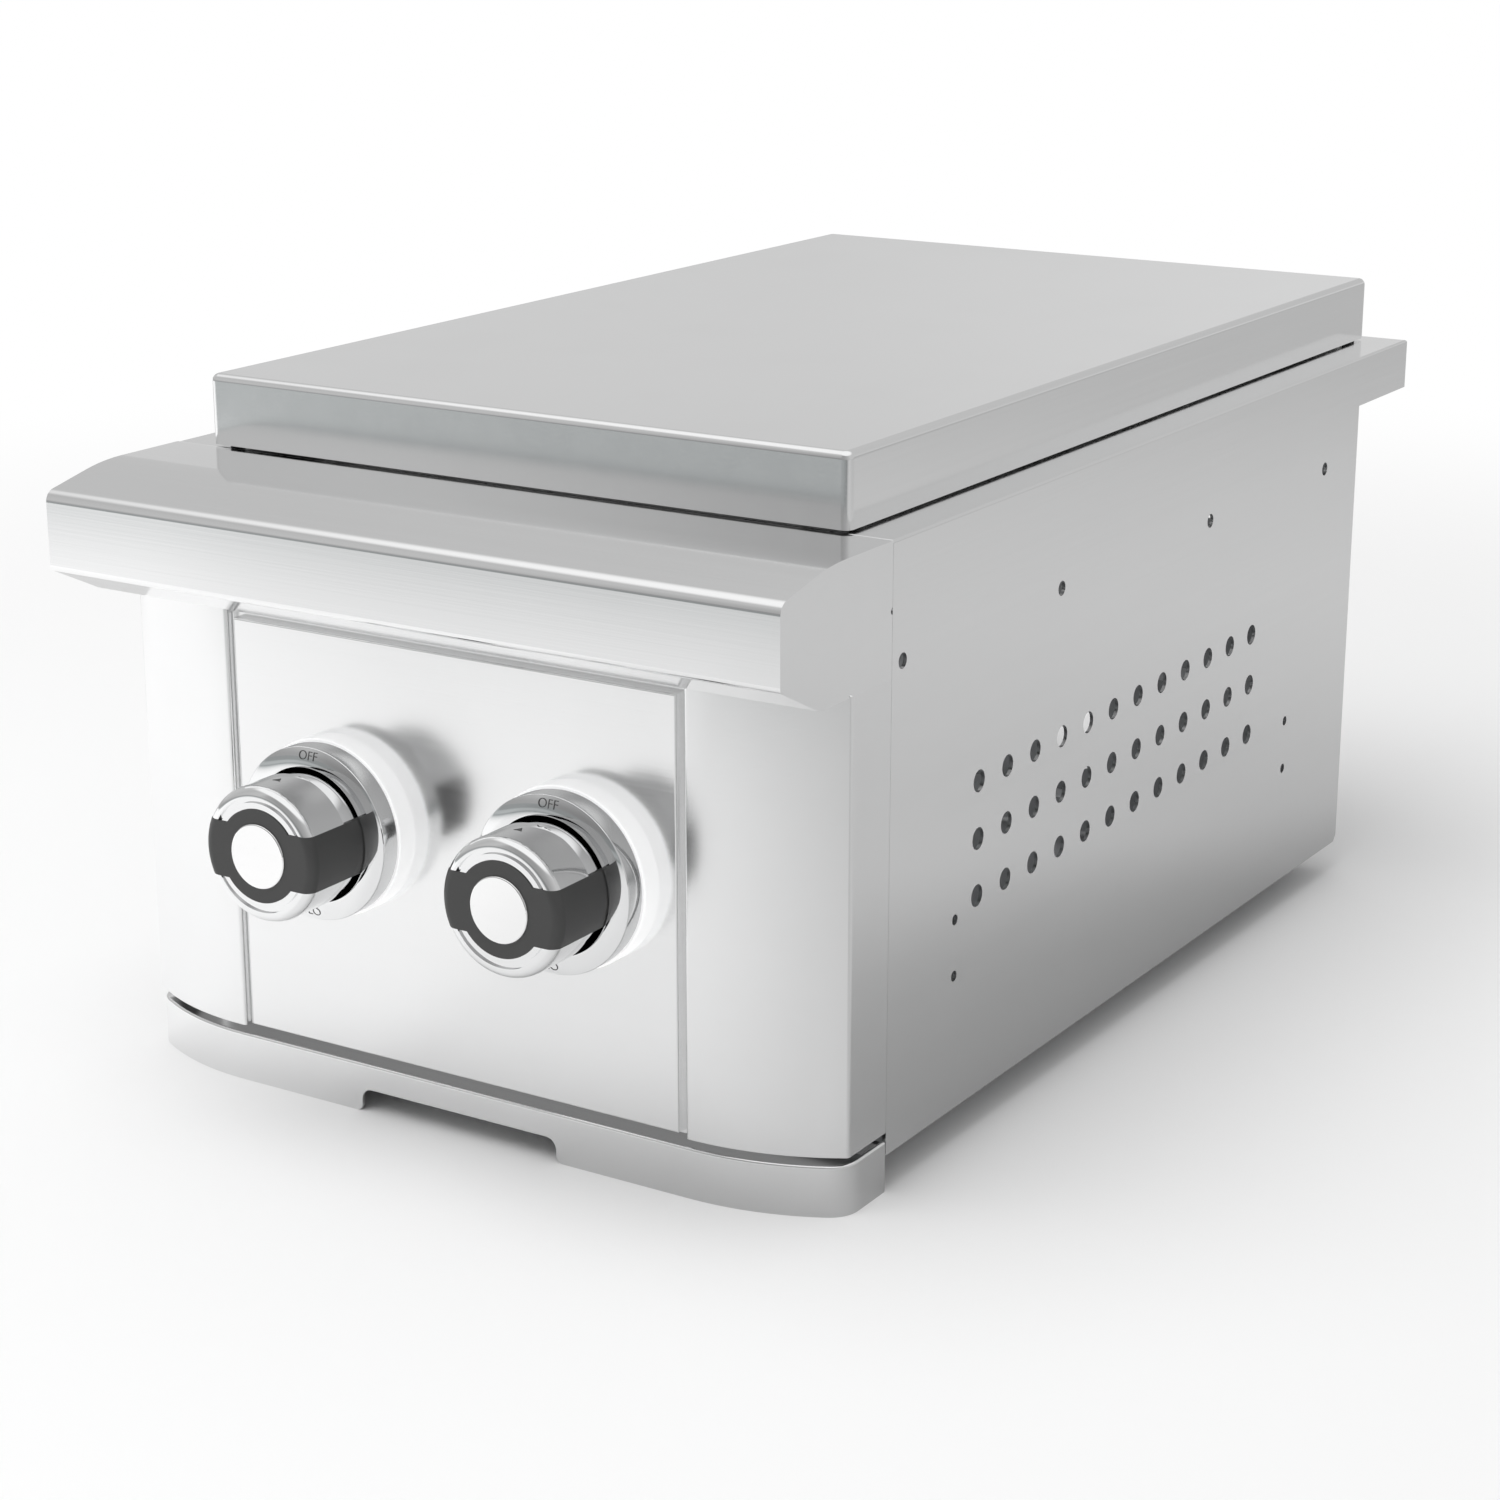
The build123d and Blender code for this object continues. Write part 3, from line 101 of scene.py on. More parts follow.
class Value:
    """Number in a node tree, with arithmetic that adds Math nodes."""

    def __init__(self, tree: bpy.types.NodeTree, socket: bpy.types.NodeSocket) -> None:
        """Wraps a socket.

        Args:
            tree: Node tree that the socket belongs to.
            socket: Output socket that carries the number.
        """
        self.tree = tree
        self.socket = socket

    def math(self, operation: str, first: Number, second: Number) -> "Value":
        """Adds a Math node.

        Args:
            operation: Name of the Math node's operation.
            first: Value or number for the first input.
            second: Value or number for the second input.

        Returns:
            The node's result.
        """
        node = self.tree.nodes.new("ShaderNodeMath")
        node.operation = operation
        for place, item in zip(node.inputs, (first, second)):
            if isinstance(item, Value):
                self.tree.links.new(item.socket, place)
            else:
                place.default_value = item
        return Value(self.tree, node.outputs[0])

    def __add__(self, other: Number) -> "Value":
        """Sum with another value or number."""
        return self.math("ADD", self, other)

    __radd__ = __add__

    def __sub__(self, other: Number) -> "Value":
        """Difference from this value."""
        return self.math("SUBTRACT", self, other)

    def __rsub__(self, other: Number) -> "Value":
        """Difference from a number."""
        return self.math("SUBTRACT", other, self)

    def __mul__(self, other: Number) -> "Value":
        """Product with another value or number."""
        return self.math("MULTIPLY", self, other)

    __rmul__ = __mul__

    def above(self, low: float, high: float) -> "Value":
        """Smooth step from 0 at low to 1 at high.

        Args:
            low: Value that gives 0.
            high: Value that gives 1.

        Returns:
            The stepped value.
        """
        node = self.tree.nodes.new("ShaderNodeMapRange")
        node.interpolation_type = "SMOOTHSTEP"
        self.tree.links.new(self.socket, node.inputs["Value"])
        node.inputs["From Min"].default_value = low
        node.inputs["From Max"].default_value = high
        return Value(self.tree, node.outputs["Result"])


def weighed(values: tuple[Value, ...], shares: tuple[float, ...]) -> Value:
    """Sum of values, each times its share.

    Args:
        values: Values to add up.
        shares: What each of them is multiplied by.

    Returns:
        The sum.
    """
    total, *others = [value * share for value, share in zip(values, shares)]
    for part in others:
        total = total + part
    return total


def bearing(across: Value, depth: Value) -> Value:
    """Direction from the middle, seen from above.

    Args:
        across: Distance towards the right.
        depth: Distance towards the rear.

    Returns:
        Share of a full turn, anticlockwise from the left.
    """
    return depth.math("ARCTAN2", depth, across) * (1 / math.tau) + 1 / 2


def stretched(grain: Axis, along: float, across: float) -> Triple:
    """Scale vector of a grain that runs along one axis.

    Args:
        grain: Axis that the grain follows.
        along: Cells per metre along the grain.
        across: Cells per metre across it.

    Returns:
        The scale for X, Y and Z.
    """
    scale = [across, across, across]
    scale[grain.value] = along
    return tuple(scale)


@dataclass(frozen=True)
class Pattern:
    """Fractal noise, by its cells per metre, its number of finer layers and their share."""

    scale: float
    detail: float
    rough: float


class Shading:
    """Node tree in the making, with short calls for the nodes that this script uses."""

    def __init__(self, tree: bpy.types.NodeTree) -> None:
        """Empties the tree.

        Args:
            tree: Node tree of a material or a world.
        """
        self.tree = tree
        tree.nodes.clear()

    def node(
        self,
        kind: str,
        settings: Optional[dict[str, object]] = None,
        sockets: Optional[dict[Union[str, int], object]] = None,
    ) -> bpy.types.Node:
        """Adds a node of any kind.

        Args:
            kind: Type name of the node.
            settings: Properties that are set first; "stops" fills a color ramp.
            sockets: Value, socket, number or colour for each input, by its name or number.

        Returns:
            The new node.
        """
        node = self.tree.nodes.new(kind)
        for name, setting in (settings or {}).items():
            if name == "stops":
                self._fill_ramp(node, setting)
            else:
                setattr(node, name, setting)
        for name, item in (sockets or {}).items():
            self.feed(node, name, item)
        return node

    @staticmethod
    def _fill_ramp(node: bpy.types.Node, stops: Stops) -> None:
        """Gives a color ramp its grey stops.

        Args:
            node: Color ramp node.
            stops: Place and brightness of each stop.
        """
        elements = node.color_ramp.elements
        while len(elements) < len(stops):
            elements.new(1)
        for element, (place, grey) in zip(elements, stops):
            element.position = place
            element.color = (grey, grey, grey, 1)

    def feed(self, node: bpy.types.Node, name: Union[str, int], item: object) -> None:
        """Links or sets one input of a node.

        Args:
            node: Node whose input is fed.
            name: Name or number of the input.
            item: Value, socket, number, vector or colour.
        """
        place = node.inputs[name]
        if isinstance(item, Value):
            self.tree.links.new(item.socket, place)
        elif isinstance(item, bpy.types.NodeSocket):
            self.tree.links.new(item, place)
        elif place.type == "RGBA":
            place.default_value = (*item, 1)
        else:
            place.default_value = item

    def place(self, stretch: Triple = UNSTRETCHED) -> bpy.types.NodeSocket:
        """Object coordinates, stretched along each axis.

        Args:
            stretch: Factors along X, Y and Z.

        Returns:
            The vector socket.
        """
        coords = self.node("ShaderNodeTexCoord").outputs["Object"]
        sockets = {"Vector": coords, "Scale": stretch}
        return self.node("ShaderNodeMapping", {"vector_type": "POINT"}, sockets).outputs["Vector"]

    def split(self, vector: bpy.types.NodeSocket) -> tuple[Value, Value, Value]:
        """Parts of a vector along each axis.

        Args:
            vector: Vector to take apart.

        Returns:
            Its parts along X, Y and Z.
        """
        parts = self.node("ShaderNodeSeparateXYZ", {}, {0: vector})
        return tuple(Value(self.tree, parts.outputs[axis.name]) for axis in Axis)

    def ray(self, kind: Ray) -> Value:
        """Tells one kind of ray, as 1, from all others, as 0."""
        return Value(self.tree, self.node("ShaderNodeLightPath").outputs[kind.value])

    def noise(self, pattern: Pattern, stretch: Triple = UNSTRETCHED) -> Value:
        """Fractal noise between 0 and 1.

        Args:
            pattern: Scale and layers of the noise.
            stretch: Factors along X, Y and Z.

        Returns:
            The noise as a value.
        """
        sockets = {
            "Vector": self.place(stretch),
            "Scale": pattern.scale,
            "Detail": pattern.detail,
            "Roughness": pattern.rough,
        }
        return Value(self.tree, self.node("ShaderNodeTexNoise", {}, sockets).outputs[0])

    def ramp(self, place: Value, stops: Stops) -> Value:
        """Grey that follows stops along a value from 0 to 1.

        Args:
            place: Value that picks the place.
            stops: Place and brightness of each stop.

        Returns:
            The brightness.
        """
        return Value(self.tree, self.node("ShaderNodeValToRGB", {"stops": stops}, {0: place}).outputs[0])

    def mix(
        self, factor: Number, first: object, second: object, blend: Blend = Blend.MIX
    ) -> bpy.types.NodeSocket:
        """Colour made of two colours.

        Args:
            factor: Share of the second colour.
            first: Colour or socket at factor 0.
            second: Colour or socket that is blended in.
            blend: How the two are joined.

        Returns:
            The colour socket.
        """
        settings = {"data_type": "RGBA", "blend_type": blend.value}
        sockets = {MIX_FACTOR: factor, MIX_FIRST: first, MIX_SECOND: second}
        return self.node("ShaderNodeMix", settings, sockets).outputs[MIX_RESULT]


class Coating(Shading):
    """Material in the making, with one Principled shader."""

    def __init__(self, name: str) -> None:
        """Starts a material.

        Args:
            name: Name of the material.
        """
        self.material = bpy.data.materials.new(name)
        self.material.use_nodes = True
        super().__init__(self.material.node_tree)
        self.shader = self.node("ShaderNodeBsdfPrincipled")
        self.output = self.node("ShaderNodeOutputMaterial", {}, {"Surface": self.shader.outputs[0]})

    def set(self, **sockets: object) -> None:
        """Feeds the shader's inputs, named with underscores for spaces."""
        for name, item in sockets.items():
            self.feed(self.shader, name.replace("_", " ").title().replace("Ior", "IOR"), item)

    def bump(self, height: Value, depth: float, strength: float = 1) -> None:
        """Raises the surface by a height pattern.

        Args:
            height: Pattern between 0 and 1.
            depth: Height of the pattern in metres.
            strength: Share of the effect.
        """
        sockets = {"Height": height, "Distance": depth, "Strength": strength}
        self.feed(self.shader, "Normal", self.node("ShaderNodeBump", {}, sockets).outputs["Normal"])


# Finishes. "dulling" is what each pattern adds to the roughness, and "gloss_lead" is how far the
# roughness starts below its named value, so that the patterns bring it back there.


class Finish(Protocol):
    """Anything that can make a material."""

    def make(self) -> bpy.types.Material:
        """Builds the material."""


@dataclass(frozen=True)
class BrushedSteel:
    """Satin stainless sheet with a fine grain, faint clouding and rubbed spots."""

    name: str
    colour: Triple = (0.90, 0.902, 0.904)
    grain: Axis = Axis.X
    roughness: float = 0.18
    contrast: float = 0.05
    grain_along: float = 5.0
    grain_across: float = 900.0
    grain_depth: float = 0.000012
    fine: Pattern = Pattern(1, 4, 0.6)
    coarse: Pattern = Pattern(1, 3, 0.5)
    coarser_along: float = 3.0
    coarser_across: float = 9.0
    cloud: Pattern = Pattern(7, 3, 0.55)
    rubbed: Pattern = Pattern(26, 1, 0.4)
    rubbed_span: Pair = (0.45, 0.8)
    streak_shares: Pair = (0.6, 0.4)
    colour_shares: Pair = (0.7, 0.3)
    dulling: Triple = (0.10, 0.06, 0.015)
    gloss_lead: float = 0.08

    def make(self) -> bpy.types.Material:
        """Builds the material.

        Returns:
            The material.
        """
        coat = Coating(self.name)
        fine_stretch = stretched(self.grain, self.grain_along, self.grain_across)
        coarse_along = self.grain_along / self.coarser_along
        coarse_stretch = stretched(self.grain, coarse_along, self.grain_across / self.coarser_across)
        fine = coat.noise(self.fine, fine_stretch)
        coarse = coat.noise(self.coarse, coarse_stretch)
        cloud = coat.noise(self.cloud)
        rubbed = coat.noise(self.rubbed).above(*self.rubbed_span)
        streak = weighed((fine, coarse), self.streak_shares)
        dark = tuple(part * (1 - self.contrast) for part in self.colour)
        light = tuple(min(1.0, part * (1 + self.contrast)) for part in self.colour)
        coat.set(
            base_color=coat.mix(weighed((streak, cloud), self.colour_shares), dark, light),
            metallic=1.0,
            roughness=weighed((streak, cloud, rubbed), self.dulling) + (self.roughness - self.gloss_lead),
        )
        coat.bump(streak, self.grain_depth)
        return coat.material


@dataclass(frozen=True)
class PolishedChrome:
    """Mirror plating with faint wiping marks."""

    name: str
    colour: Triple = (0.94, 0.944, 0.948)
    roughness: float = 0.035
    wiping: Triple = (30, 30, 260)
    wiped: Pattern = Pattern(1, 3, 0.6)
    spots: Pattern = Pattern(900, 2, 0.4)
    spot_span: Pair = (0.66, 0.78)
    dullness: float = 0.96
    colour_shares: Pair = (0.6, 0.4)
    dulling: Pair = (0.03, 0.05)

    def make(self) -> bpy.types.Material:
        """Builds the material.

        Returns:
            The material.
        """
        coat = Coating(self.name)
        wiped = coat.noise(self.wiped, self.wiping)
        spots = coat.noise(self.spots).above(*self.spot_span)
        dull = tuple(part * self.dullness for part in self.colour)
        coat.set(
            base_color=coat.mix(weighed((wiped, spots), self.colour_shares), self.colour, dull),
            metallic=1.0,
            roughness=weighed((wiped, spots), self.dulling) + self.roughness,
        )
        return coat.material


@dataclass(frozen=True)
class SatinPaint:
    """Smooth dark coating with a fine orange-peel surface."""

    name: str
    colour: Triple
    roughness: float = 0.45
    peel: Pattern = Pattern(1400, 2, 0.5)
    peel_depth: float = 0.00002
    peel_strength: float = 0.5
    worn: Pattern = Pattern(90, 4, 0.6)
    paling: float = 1.16
    colour_shares: Pair = (0.7, 0.3)
    dulling: float = 0.12
    gloss_lead: float = 0.06

    def make(self) -> bpy.types.Material:
        """Builds the material.

        Returns:
            The material.
        """
        coat = Coating(self.name)
        peel = coat.noise(self.peel)
        worn = coat.noise(self.worn)
        pale = tuple(part * self.paling for part in self.colour)
        coat.set(
            base_color=coat.mix(weighed((worn, peel), self.colour_shares), self.colour, pale),
            roughness=worn * self.dulling + (self.roughness - self.gloss_lead),
        )
        coat.bump(peel, self.peel_depth, self.peel_strength)
        return coat.material


@dataclass(frozen=True)
class Casting:
    """Cast surface with a sandy grain, pits and brighter rubbed patches."""

    name: str
    colour: Triple
    rubbed: Triple
    metallic: float
    roughness: float = 0.62
    sand: Pattern = Pattern(1100, 4, 0.7)
    pits: Pattern = Pattern(380, 3, 0.6)
    patch: Pattern = Pattern(32, 4, 0.62)
    patch_span: Pair = (0.5, 0.74)
    colour_shares: Pair = (0.8, 0.2)
    dulling: Pair = (0.2, -0.12)
    gloss_lead: float = 0.06
    height_shares: Pair = (0.5, 0.5)
    grain_depth: float = 0.00025
    grain_strength: float = 0.7

    def make(self) -> bpy.types.Material:
        """Builds the material.

        Returns:
            The material.
        """
        coat = Coating(self.name)
        sand = coat.noise(self.sand)
        pits = coat.noise(self.pits)
        worn = coat.noise(self.patch).above(*self.patch_span)
        coat.set(
            base_color=coat.mix(weighed((worn, sand), self.colour_shares), self.colour, self.rubbed),
            metallic=self.metallic,
            roughness=weighed((sand, worn), self.dulling) + (self.roughness - self.gloss_lead),
        )
        coat.bump(weighed((sand, pits), self.height_shares), self.grain_depth, self.grain_strength)
        return coat.material


@dataclass(frozen=True)
class Brass:
    """Machined brass with turning marks and dull patches."""

    name: str
    colour: Triple = (0.76, 0.58, 0.27)
    dull: Triple = (0.52, 0.38, 0.18)
    roughness: float = 0.14
    marks_along: float = 1800.0
    marks_across: float = 12.0
    marks: Pattern = Pattern(1, 2, 0.5)
    mark_depth: float = 0.00002
    mark_strength: float = 0.6
    patch: Pattern = Pattern(120, 4, 0.6)
    patch_span: Pair = (0.42, 0.7)
    dulling: Pair = (0.14, 0.12)

    def make(self) -> bpy.types.Material:
        """Builds the material.

        Returns:
            The material.
        """
        coat = Coating(self.name)
        marks = coat.noise(self.marks, stretched(Axis.Y, self.marks_along, self.marks_across))
        patch = coat.noise(self.patch)
        coat.set(
            base_color=coat.mix(patch.above(*self.patch_span), self.colour, self.dull),
            metallic=1.0,
            roughness=weighed((marks, patch), self.dulling) + self.roughness,
        )
        coat.bump(marks, self.mark_depth, self.mark_strength)
        return coat.material


@dataclass(frozen=True)
class Spangled:
    """Zinc or aluminium coated sheet with soft crystal patches."""

    name: str
    colour: Triple = (0.60, 0.61, 0.62)
    crystal_scale: float = 130.0
    roughness: float = 0.36
    metallic: float = 0.95
    darkening: float = 0.84
    cloud: Pattern = Pattern(18, 4, 0.6)
    rolled: Pattern = Pattern(1, 3, 0.6)
    rolled_along: float = 8.0
    rolled_across: float = 700.0
    rolled_depth: float = 0.00001
    rolled_strength: float = 0.5
    colour_shares: Pair = (0.8, 0.4)
    dulling: Pair = (0.12, 0.1)
    gloss_lead: float = 0.1

    def make(self) -> bpy.types.Material:
        """Builds the material.

        Returns:
            The material.
        """
        coat = Coating(self.name)
        sockets = {"Vector": coat.place(), "Scale": self.crystal_scale, "Randomness": 1.0}
        cells = coat.node("ShaderNodeTexVoronoi", {"feature": "SMOOTH_F1"}, sockets)
        crystal = Value(coat.tree, cells.outputs["Distance"])
        cloud = coat.noise(self.cloud)
        rolled = coat.noise(self.rolled, stretched(Axis.Y, self.rolled_along, self.rolled_across))
        dark = tuple(part * self.darkening for part in self.colour)
        coat.set(
            base_color=coat.mix(weighed((crystal, cloud), self.colour_shares), dark, self.colour),
            metallic=self.metallic,
            roughness=weighed((crystal, rolled), self.dulling) + (self.roughness - self.gloss_lead),
        )
        coat.bump(rolled, self.rolled_depth, self.rolled_strength)
        return coat.material


@dataclass(frozen=True)
class Glazed:
    """Glazed white ceramic with fine specks."""

    name: str
    colour: Triple = (0.86, 0.85, 0.81)
    speck: Triple = (0.62, 0.58, 0.52)
    specks: Pattern = Pattern(1500, 2, 0.5)
    speck_span: Pair = (0.66, 0.74)
    roughness: float = 0.14
    glaze: float = 0.5
    glaze_roughness: float = 0.06
    wave: Pattern = Pattern(260, 2, 0.5)
    wave_depth: float = 0.00005
    wave_strength: float = 0.4
    dulling: float = 0.1

    def make(self) -> bpy.types.Material:
        """Builds the material.

        Returns:
            The material.
        """
        coat = Coating(self.name)
        specks = coat.noise(self.specks).above(*self.speck_span)
        wave = coat.noise(self.wave)
        coat.set(
            base_color=coat.mix(specks, self.colour, self.speck),
            roughness=wave * self.dulling + self.roughness,
            coat_weight=self.glaze,
            coat_roughness=self.glaze_roughness,
        )
        coat.bump(wave, self.wave_depth, self.wave_strength)
        return coat.material


@dataclass(frozen=True)
class MilkyPlastic:
    """Milky white plastic that glows faintly, with a smooth surface and faint flow marks."""

    name: str
    colour: Triple = (0.97, 0.972, 0.975)
    flow: Triple = (0.94, 0.942, 0.945)
    marks: Pattern = Pattern(160, 3, 0.55)
    roughness: float = 0.16
    dulling: float = 0.1
    glow: float = 0.35

    def make(self) -> bpy.types.Material:
        """Builds the material.

        Returns:
            The material.
        """
        coat = Coating(self.name)
        marks = coat.noise(self.marks)
        milk = coat.mix(marks, self.colour, self.flow)
        coat.set(
            base_color=milk,
            roughness=marks * self.dulling + self.roughness,
            emission_color=milk,
            emission_strength=self.glow,
        )
        return coat.material


@dataclass(frozen=True)
class Rubber:
    """Matt rubber with a fine moulded grain and some dust."""

    name: str
    colour: Triple = (0.035, 0.035, 0.036)
    dusty: Triple = (0.11, 0.11, 0.11)
    dust: Pattern = Pattern(150, 4, 0.6)
    dust_span: Pair = (0.5, 0.8)
    dust_share: float = 0.5
    roughness: float = 0.62
    grain: Pattern = Pattern(2200, 3, 0.6)
    grain_depth: float = 0.00004
    grain_strength: float = 0.6
    dulling: float = 0.15

    def make(self) -> bpy.types.Material:
        """Builds the material.

        Returns:
            The material.
        """
        coat = Coating(self.name)
        grain = coat.noise(self.grain)
        dust = coat.noise(self.dust).above(*self.dust_span)
        coat.set(
            base_color=coat.mix(dust * self.dust_share, self.colour, self.dusty),
            roughness=grain * self.dulling + self.roughness,
        )
        coat.bump(grain, self.grain_depth, self.grain_strength)
        return coat.material


@dataclass(frozen=True)
class Ink:
    """Printed black mark with slightly uneven cover."""

    name: str
    colour: Triple = (0.045, 0.045, 0.045)
    thin: Triple = (0.08, 0.08, 0.08)
    cover: Pattern = Pattern(1600, 2, 0.5)
    roughness: float = 0.4
    dulling: float = 0.2

    def make(self) -> bpy.types.Material:
        """Builds the material.

        Returns:
            The material.
        """
        coat = Coating(self.name)
        cover = coat.noise(self.cover)
        coat.set(
            base_color=coat.mix(cover, self.colour, self.thin),
            roughness=cover * self.dulling + self.roughness,
        )
        return coat.material


# Mesh helpers


def deselect() -> None:
    """Leaves edit mode and deselects everything."""
    if bpy.context.object is not None and bpy.context.object.mode != "OBJECT":
        bpy.ops.object.mode_set(mode="OBJECT")
    bpy.ops.object.select_all(action="DESELECT")


def settle(piece: bpy.types.Object, name: str) -> bpy.types.Object:
    """Names a piece and moves its place into its mesh.

    Args:
        piece: Object to finish.
        name: Name of the object and its mesh.

    Returns:
        The same object.
    """
    deselect()
    bpy.context.view_layer.objects.active = piece
    piece.select_set(True)
    bpy.ops.object.transform_apply(location=True, rotation=True, scale=True)
    piece.name = name
    piece.data.name = name
    return piece


def turned(profile: list[Pair], axis: Vector, name: str) -> bpy.types.Object:
    """Makes a closed ring from its section, turned about an axis along Y.

    Args:
        profile: Radius and distance along Y of each corner of the section, in order.
        axis: Point on the axis from which the distances are counted.
        name: Name of the piece.

    Returns:
        The ring as a smooth closed mesh.
    """
    deselect()
    radius, reach = profile[0]
    start = axis + Vector((0, reach, 0))
    bpy.ops.mesh.primitive_circle_add(
        vertices=RING_SIDES, radius=radius, location=start, rotation=(RIGHT_ANGLE, 0, 0)
    )
    piece = settle(bpy.context.object, name)
    bpy.ops.object.mode_set(mode="EDIT")
    bpy.ops.mesh.select_all(action="SELECT")
    for next_radius, next_reach in [*profile[1:], profile[0]]:
        bpy.ops.mesh.extrude_edges_move(TRANSFORM_OT_translate={"value": (0, next_reach - reach, 0)})
        ratio = next_radius / radius
        centre = axis + Vector((0, next_reach, 0))
        bpy.ops.transform.resize(value=(ratio, 1, ratio), center_override=centre)
        radius, reach = next_radius, next_reach
    bpy.ops.mesh.select_all(action="SELECT")
    bpy.ops.mesh.remove_doubles(threshold=MERGE_DISTANCE)
    bpy.ops.mesh.normals_make_consistent(inside=False)
    bpy.ops.object.mode_set(mode="OBJECT")
    bpy.ops.object.shade_smooth_by_angle(angle=SMOOTH_ANGLE)
    return piece


def dress(coats: dict[Finish, list[str]]) -> list[str]:
    """Gives CAD nodes their materials.

    Args:
        coats: Names of the nodes that each finish covers.

    Returns:
        Names of all the nodes.
    """
    for finish, names in coats.items():
        material = finish.make()
        for name in names:
            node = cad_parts[name]
            node.data.materials.clear()
            node.data.materials.append(material)
    return [name for names in coats.values() for name in names]


def both(name: str) -> list[str]:
    """Names of a node's left and right copies."""
    return [f"{name}_{side.value}" for side in Side]


def ends(name: str) -> list[str]:
    """Names of a node's front and rear copies."""
    return [f"{name}_front", f"{name}_rear"]


# Sub-assemblies


@dataclass
class Casing:
    """Folded sheet casing with its frame, hood, wings, panels and curved apron."""

    hood_roughness: float = 0.11
    upright_roughness: float = 0.22

    def dress(self) -> list[str]:
        """Gives every sheet of the casing its finish.

        Returns:
            Names of the dressed nodes.
        """
        hood = BrushedSteel("hood steel", roughness=self.hood_roughness)
        upright = BrushedSteel("satin steel upright", roughness=self.upright_roughness)
        return dress(
            {
                hood: ["front_hood"],
                BrushedSteel("satin steel across"): ["control_panel", "tray_apron"],
                BrushedSteel("satin steel lengthways", grain=Axis.Y): ["top_frame", *both("side_panel")],
                upright: [*both("wing"), "backing_plate"],
                Spangled("coated inner sheet"): ["rear_panel", "front_wall", *ends("cross_brace")],
            }
        )


@dataclass
class Lid:
    """Lift-off lid on rubber bumpers."""

    roughness: float = 0.13

    def dress(self) -> list[str]:
        """Gives the lid and its bumpers their finishes.

        Returns:
            Names of the dressed nodes.
        """
        steel = BrushedSteel("brushed lid steel", grain=Axis.Y, roughness=self.roughness)
        return dress({steel: ["lid"], Rubber("bumper rubber"): ["lid_bumpers"]})


@dataclass
class DripTray:
    """Tray with the rails that it runs on."""

    crystal_scale: float = 110.0

    def dress(self) -> list[str]:
        """Gives the tray and rails their finish.

        Returns:
            Names of the dressed nodes.
        """
        sheet = Spangled("coated tray sheet", crystal_scale=self.crystal_scale)
        return dress({sheet: ["drip_tray", *both("tray_rail")]})


@dataclass
class Burners:
    """Burner pan with heads, caps, mixer tubes, igniters and grates."""

    iron: Triple = (0.022, 0.022, 0.023)
    rubbed_iron: Triple = (0.06, 0.058, 0.056)
    iron_metallic: float = 0.1
    iron_roughness: float = 0.5
    alloy: Triple = (0.42, 0.41, 0.39)
    rubbed_alloy: Triple = (0.62, 0.61, 0.58)
    alloy_metallic: float = 0.9
    pan_roughness: float = 0.3
    pan_contrast: float = 0.08
    tube_crystal_scale: float = 300.0
    wire: Triple = (0.55, 0.53, 0.5)
    wire_roughness: float = 0.35

    def dress(self) -> list[str]:
        """Gives every burner piece its finish.

        Returns:
            Names of the dressed nodes.
        """
        pan = BrushedSteel(
            "pan steel", grain=Axis.Y, roughness=self.pan_roughness, contrast=self.pan_contrast
        )
        iron = Casting(
            "enamelled cast iron", self.iron, self.rubbed_iron, self.iron_metallic, self.iron_roughness
        )
        alloy = Casting("cast burner alloy", self.alloy, self.rubbed_alloy, self.alloy_metallic)
        tube = Spangled("coated tube", crystal_scale=self.tube_crystal_scale)
        return dress(
            {
                pan: ["burner_pan"],
                iron: [*ends("grate"), *ends("burner_cap")],
                alloy: ends("burner_head"),
                tube: [*ends("mixer"), *ends("air_shutter")],
                Glazed("igniter ceramic"): ends("electrode"),
                BrushedSteel("igniter wire", self.wire, roughness=self.wire_roughness): ["electrode_tips"],
            }
        )


@dataclass
class GasTrain:
    """Manifold, pipe, inlet and valves."""

    plate_colour: Triple = (0.68, 0.68, 0.67)
    plate_crystal_scale: float = 240.0
    plate_roughness: float = 0.3
    screw_roughness: float = 0.12

    def dress(self) -> list[str]:
        """Gives every piece of the gas supply its finish.

        Returns:
            Names of the dressed nodes.
        """
        plated = Spangled(
            "plated supply tube", self.plate_colour, self.plate_crystal_scale, self.plate_roughness
        )
        valves = [*both("valve_body"), *both("valve_bonnet"), *both("valve_plug"), *both("orifice")]
        return dress(
            {
                plated: ["manifold", "manifold_brackets", "gas_pipe"],
                Brass("machined brass"): ["gas_inlet", "inlet_locknut", *valves],
                PolishedChrome("plated screws", roughness=self.screw_roughness): ["bonnet_screws"],
            }
        )


